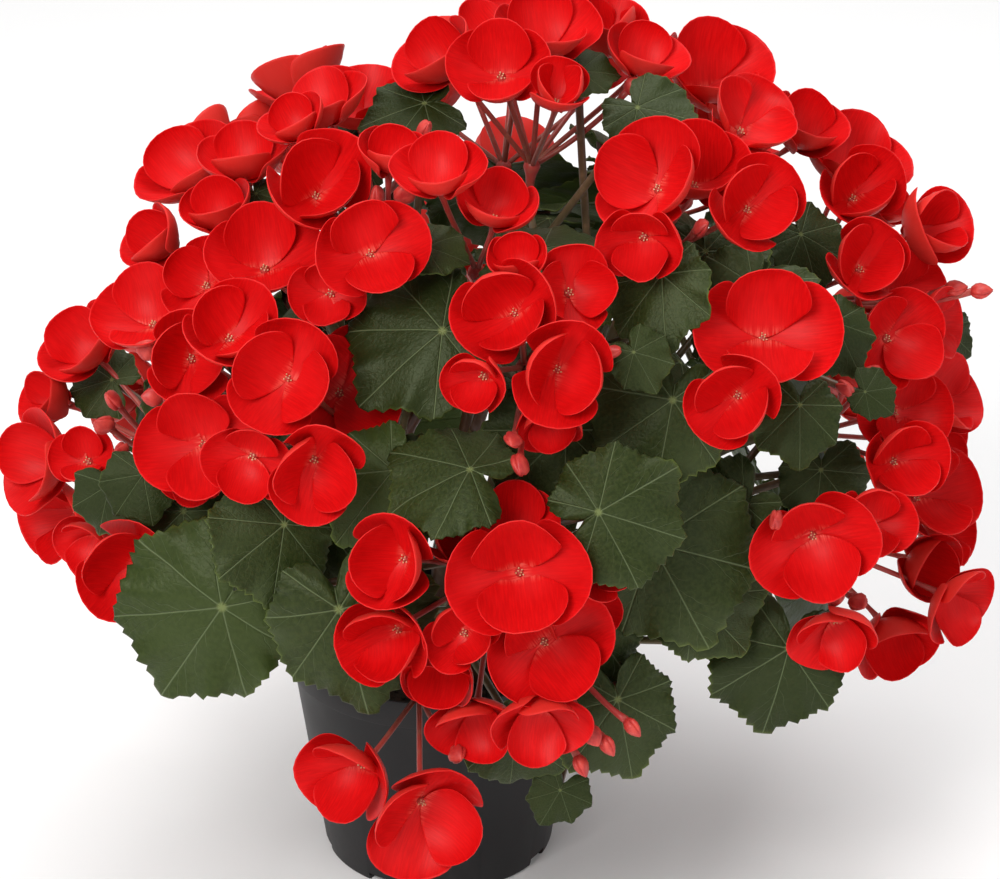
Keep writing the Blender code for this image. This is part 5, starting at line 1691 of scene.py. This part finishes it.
def fine_soil(rng):
    """The soil: a crumbly plug with loose crumbs on its top."""
    bottom = FLOOR_THICK + GAP
    edge_top = SOIL_TOP - SOIL_CROWN
    top_r = pot_inner_radius(edge_top) - GAP
    profile = []
    for step in range(SOIL_RINGS + 1):
        profile.append((top_r * step / SOIL_RINGS, SOIL_TOP - SOIL_CROWN * (step / SOIL_RINGS) ** 3))
    profile += [(pot_inner_radius(bottom) - GAP, bottom), (0, bottom)]
    soil = turned("soil_fine", profile, "soil")
    apply_modifiers(soil)
    for vert in soil.data.vertices:
        reach = math.hypot(vert.co.x, vert.co.y)
        if vert.co.z > edge_top - 1 * MM and reach < top_r - 0.5 * MM:
            bumps = noise.noise(vert.co * 260) + 0.6 * noise.noise(vert.co * 700)
            vert.co.z += SOIL_BUMP * bumps
    for polygon in soil.data.polygons:
        polygon.use_smooth = True
    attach(soil, "root")
    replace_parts(soil, "soil")
    crumbs = Sculpture(["soil"])
    turn = math.tau * np.arange(CRUMB_SIDES) / CRUMB_SIDES
    faces = skin_faces(CRUMB_SIDES, len(CRUMB_RINGS))
    for number in range(CRUMBS):
        reach = (top_r - 3 * MM) * math.sqrt((number + 0.5) / CRUMBS)
        swing = number * GOLDEN_TURN
        radius = rng.uniform(*CRUMB_R) * MM
        level = SOIL_TOP - SOIL_CROWN * (reach / top_r) ** 3 + radius * 0.35
        place = Matrix.Translation((reach * math.cos(swing), reach * math.sin(swing), level))
        spin = Matrix.Rotation(rng.uniform(0, math.tau), 4, "Z")
        spin = spin @ Matrix.Rotation(rng.uniform(-0.6, 0.6), 4, "X")
        points = [np.array([[0, 0, -radius * 0.7]])]
        for share in CRUMB_RINGS:
            ring_r = radius * math.sin(math.pi * share)
            rough = np.array([rng.uniform(0.75, 1.2) for _ in turn])
            rise = np.full(CRUMB_SIDES, -radius * 0.7 * math.cos(math.pi * share))
            across = ring_r * rough * np.sin(turn) * 0.8
            points.append(np.stack([ring_r * rough * np.cos(turn), across, rise], axis=1))
        points.append(np.array([[0, 0, radius * 0.7]]))
        shape = moved(place @ spin, np.concatenate(points))
        crumbs.add(shape, faces, "soil", np.zeros(3), np.zeros(3))
    crumbs.finish("soil_crumbs")


def solid_entry(node):
    """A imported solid, as the settling step sees what is there."""
    points = np.array([vert.co for vert in node.data.vertices])
    tree = BVHTree.FromPolygons(points.tolist(), [tuple(face.vertices) for face in node.data.polygons])
    return tree, points.min(axis=0), points.max(axis=0)


def inner_leaves(plant, bed):
    """Adds small leaves deep inside the plant, that the solids leave out."""
    bed += [solid_entry(node) for node in frame["nodes"].values()]
    rng = random.Random("inner leaves")
    sculpture = Sculpture(["stem", "leaf"])
    points = [point for shoot in plant.shoots for point in smooth_path(shoot.steers, 6)[1:]]
    for number in range(INNER_LEAVES):
        height = INNER_TOP - (INNER_TOP - INNER_BOTTOM) * (number + 0.5) / INNER_LEAVES
        out = direction(math.degrees(number * GOLDEN_TURN), math.degrees(math.asin(height)))
        place = BALL_CENTRE + out * BALL_R * rng.uniform(*INNER_DEPTH)
        normal = out + Vector((rng.uniform(-0.4, 0.4), rng.uniform(-0.4, 0.4), rng.uniform(0.1, 0.8)))
        tip = Vector((rng.uniform(-1, 1), rng.uniform(-1, 1), -1))
        blade = Blade(frame_of(place, normal, tip), rng.uniform(*INNER_SIZE) * MM,
                      rng.uniform(-0.1, 0.1), rng.uniform(*LEAF_DROOP), rng.uniform(*LEAF_WAVE), number)
        foot = min(points, key=lambda point: (point - place).length)
        fine_leaf(sculpture, bed, SetLeaf("", blade, foot), "inner" + str(number), INNER_CROSSINGS)
    sculpture.finish("inner_leaves")


def dress(plant):
    """Makes the fine piece of every stem and every head, in place of its solid."""
    bed = []
    for name, (start, hub) in plant.hubs.items():
        node = "flowers_" + name
        rng = random.Random(node)
        sculpture = Sculpture(["flower stalk", "petal", "stamen", "bud"])
        fine_peduncle(sculpture, start, hub, rng)
        for number, bloom in enumerate(plant.blooms):
            if bloom.node == node:
                fine_bloom(sculpture, bed, bloom, node + str(number))
        for bud in plant.buds:
            if bud.node == node:
                fine_bud(sculpture, bud.place, bud.hub, rng)
        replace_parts(sculpture.finish(node + "_fine"), node)
    for stem in STEMS:
        node = "stem_" + stem
        rng = random.Random(node)
        sculpture = Sculpture(["stem", "leaf"])
        for shoot in plant.shoots:
            if shoot.node == node:
                fine_stem(sculpture, shoot, rng)
        for number, leaf in enumerate(plant.leaves):
            if leaf.node == node:
                fine_leaf(sculpture, bed, leaf, node + str(number))
        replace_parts(sculpture.finish(node + "_fine"), node)
    inner_leaves(plant, bed)


def light(name, place, size, power, colour):
    """A soft square light that looks at the plant's middle."""
    lamp = bpy.data.lights.new(name, "AREA")
    lamp.shape = "SQUARE"
    lamp.size = size
    lamp.energy = power
    lamp.color = colour
    made = bpy.data.objects.new(name, lamp)
    made.location = place
    made.rotation_euler = (BALL_CENTRE - Vector(place)).to_track_quat("-Z", "Y").to_euler()
    bpy.context.scene.collection.objects.link(made)


def make_studio():
    """The floor, the lights, the world and the camera of the photograph."""
    bm = bmesh.new()
    bmesh.ops.create_grid(bm, x_segments=1, y_segments=1, size=FLOOR_SIZE)
    mesh = bpy.data.meshes.new("floor")
    bm.to_mesh(mesh)
    floor = bpy.data.objects.new("floor", mesh)
    bpy.context.scene.collection.objects.link(floor)
    surface = Surface("floor", 0.9, 0.1)
    surface.set("Base Color", FLOOR_COLOUR)
    mesh.materials.append(surface.material)
    world = bpy.data.worlds.new("studio")
    world.use_nodes = True
    background = world.node_tree.nodes["Background"]
    background.inputs["Color"].default_value = (1, 1, 1, 1)
    background.inputs["Strength"].default_value = WORLD_STRENGTH
    bpy.context.scene.world = world
    bpy.context.scene.view_settings.view_transform = "Standard"
    for entry in LIGHTS:
        light(*entry)
    camera = bpy.data.cameras.new("camera")
    camera.sensor_width = SENSOR
    camera.lens = SENSOR * VIEW_DISTANCE / (FRAME_WIDTH * PER_PIXEL)
    seen = bpy.data.objects.new("camera", camera)
    seen.matrix_world = frame_of(EYE, TOWARDS, ACROSS)
    bpy.context.scene.collection.objects.link(seen)
    bpy.context.scene.camera = seen


def main():
    """Builds the whole scene."""
    plant = grow()
    make_materials()
    fine_pot()
    fine_soil(random.Random("soil"))
    dress(plant)
    make_studio()


main()
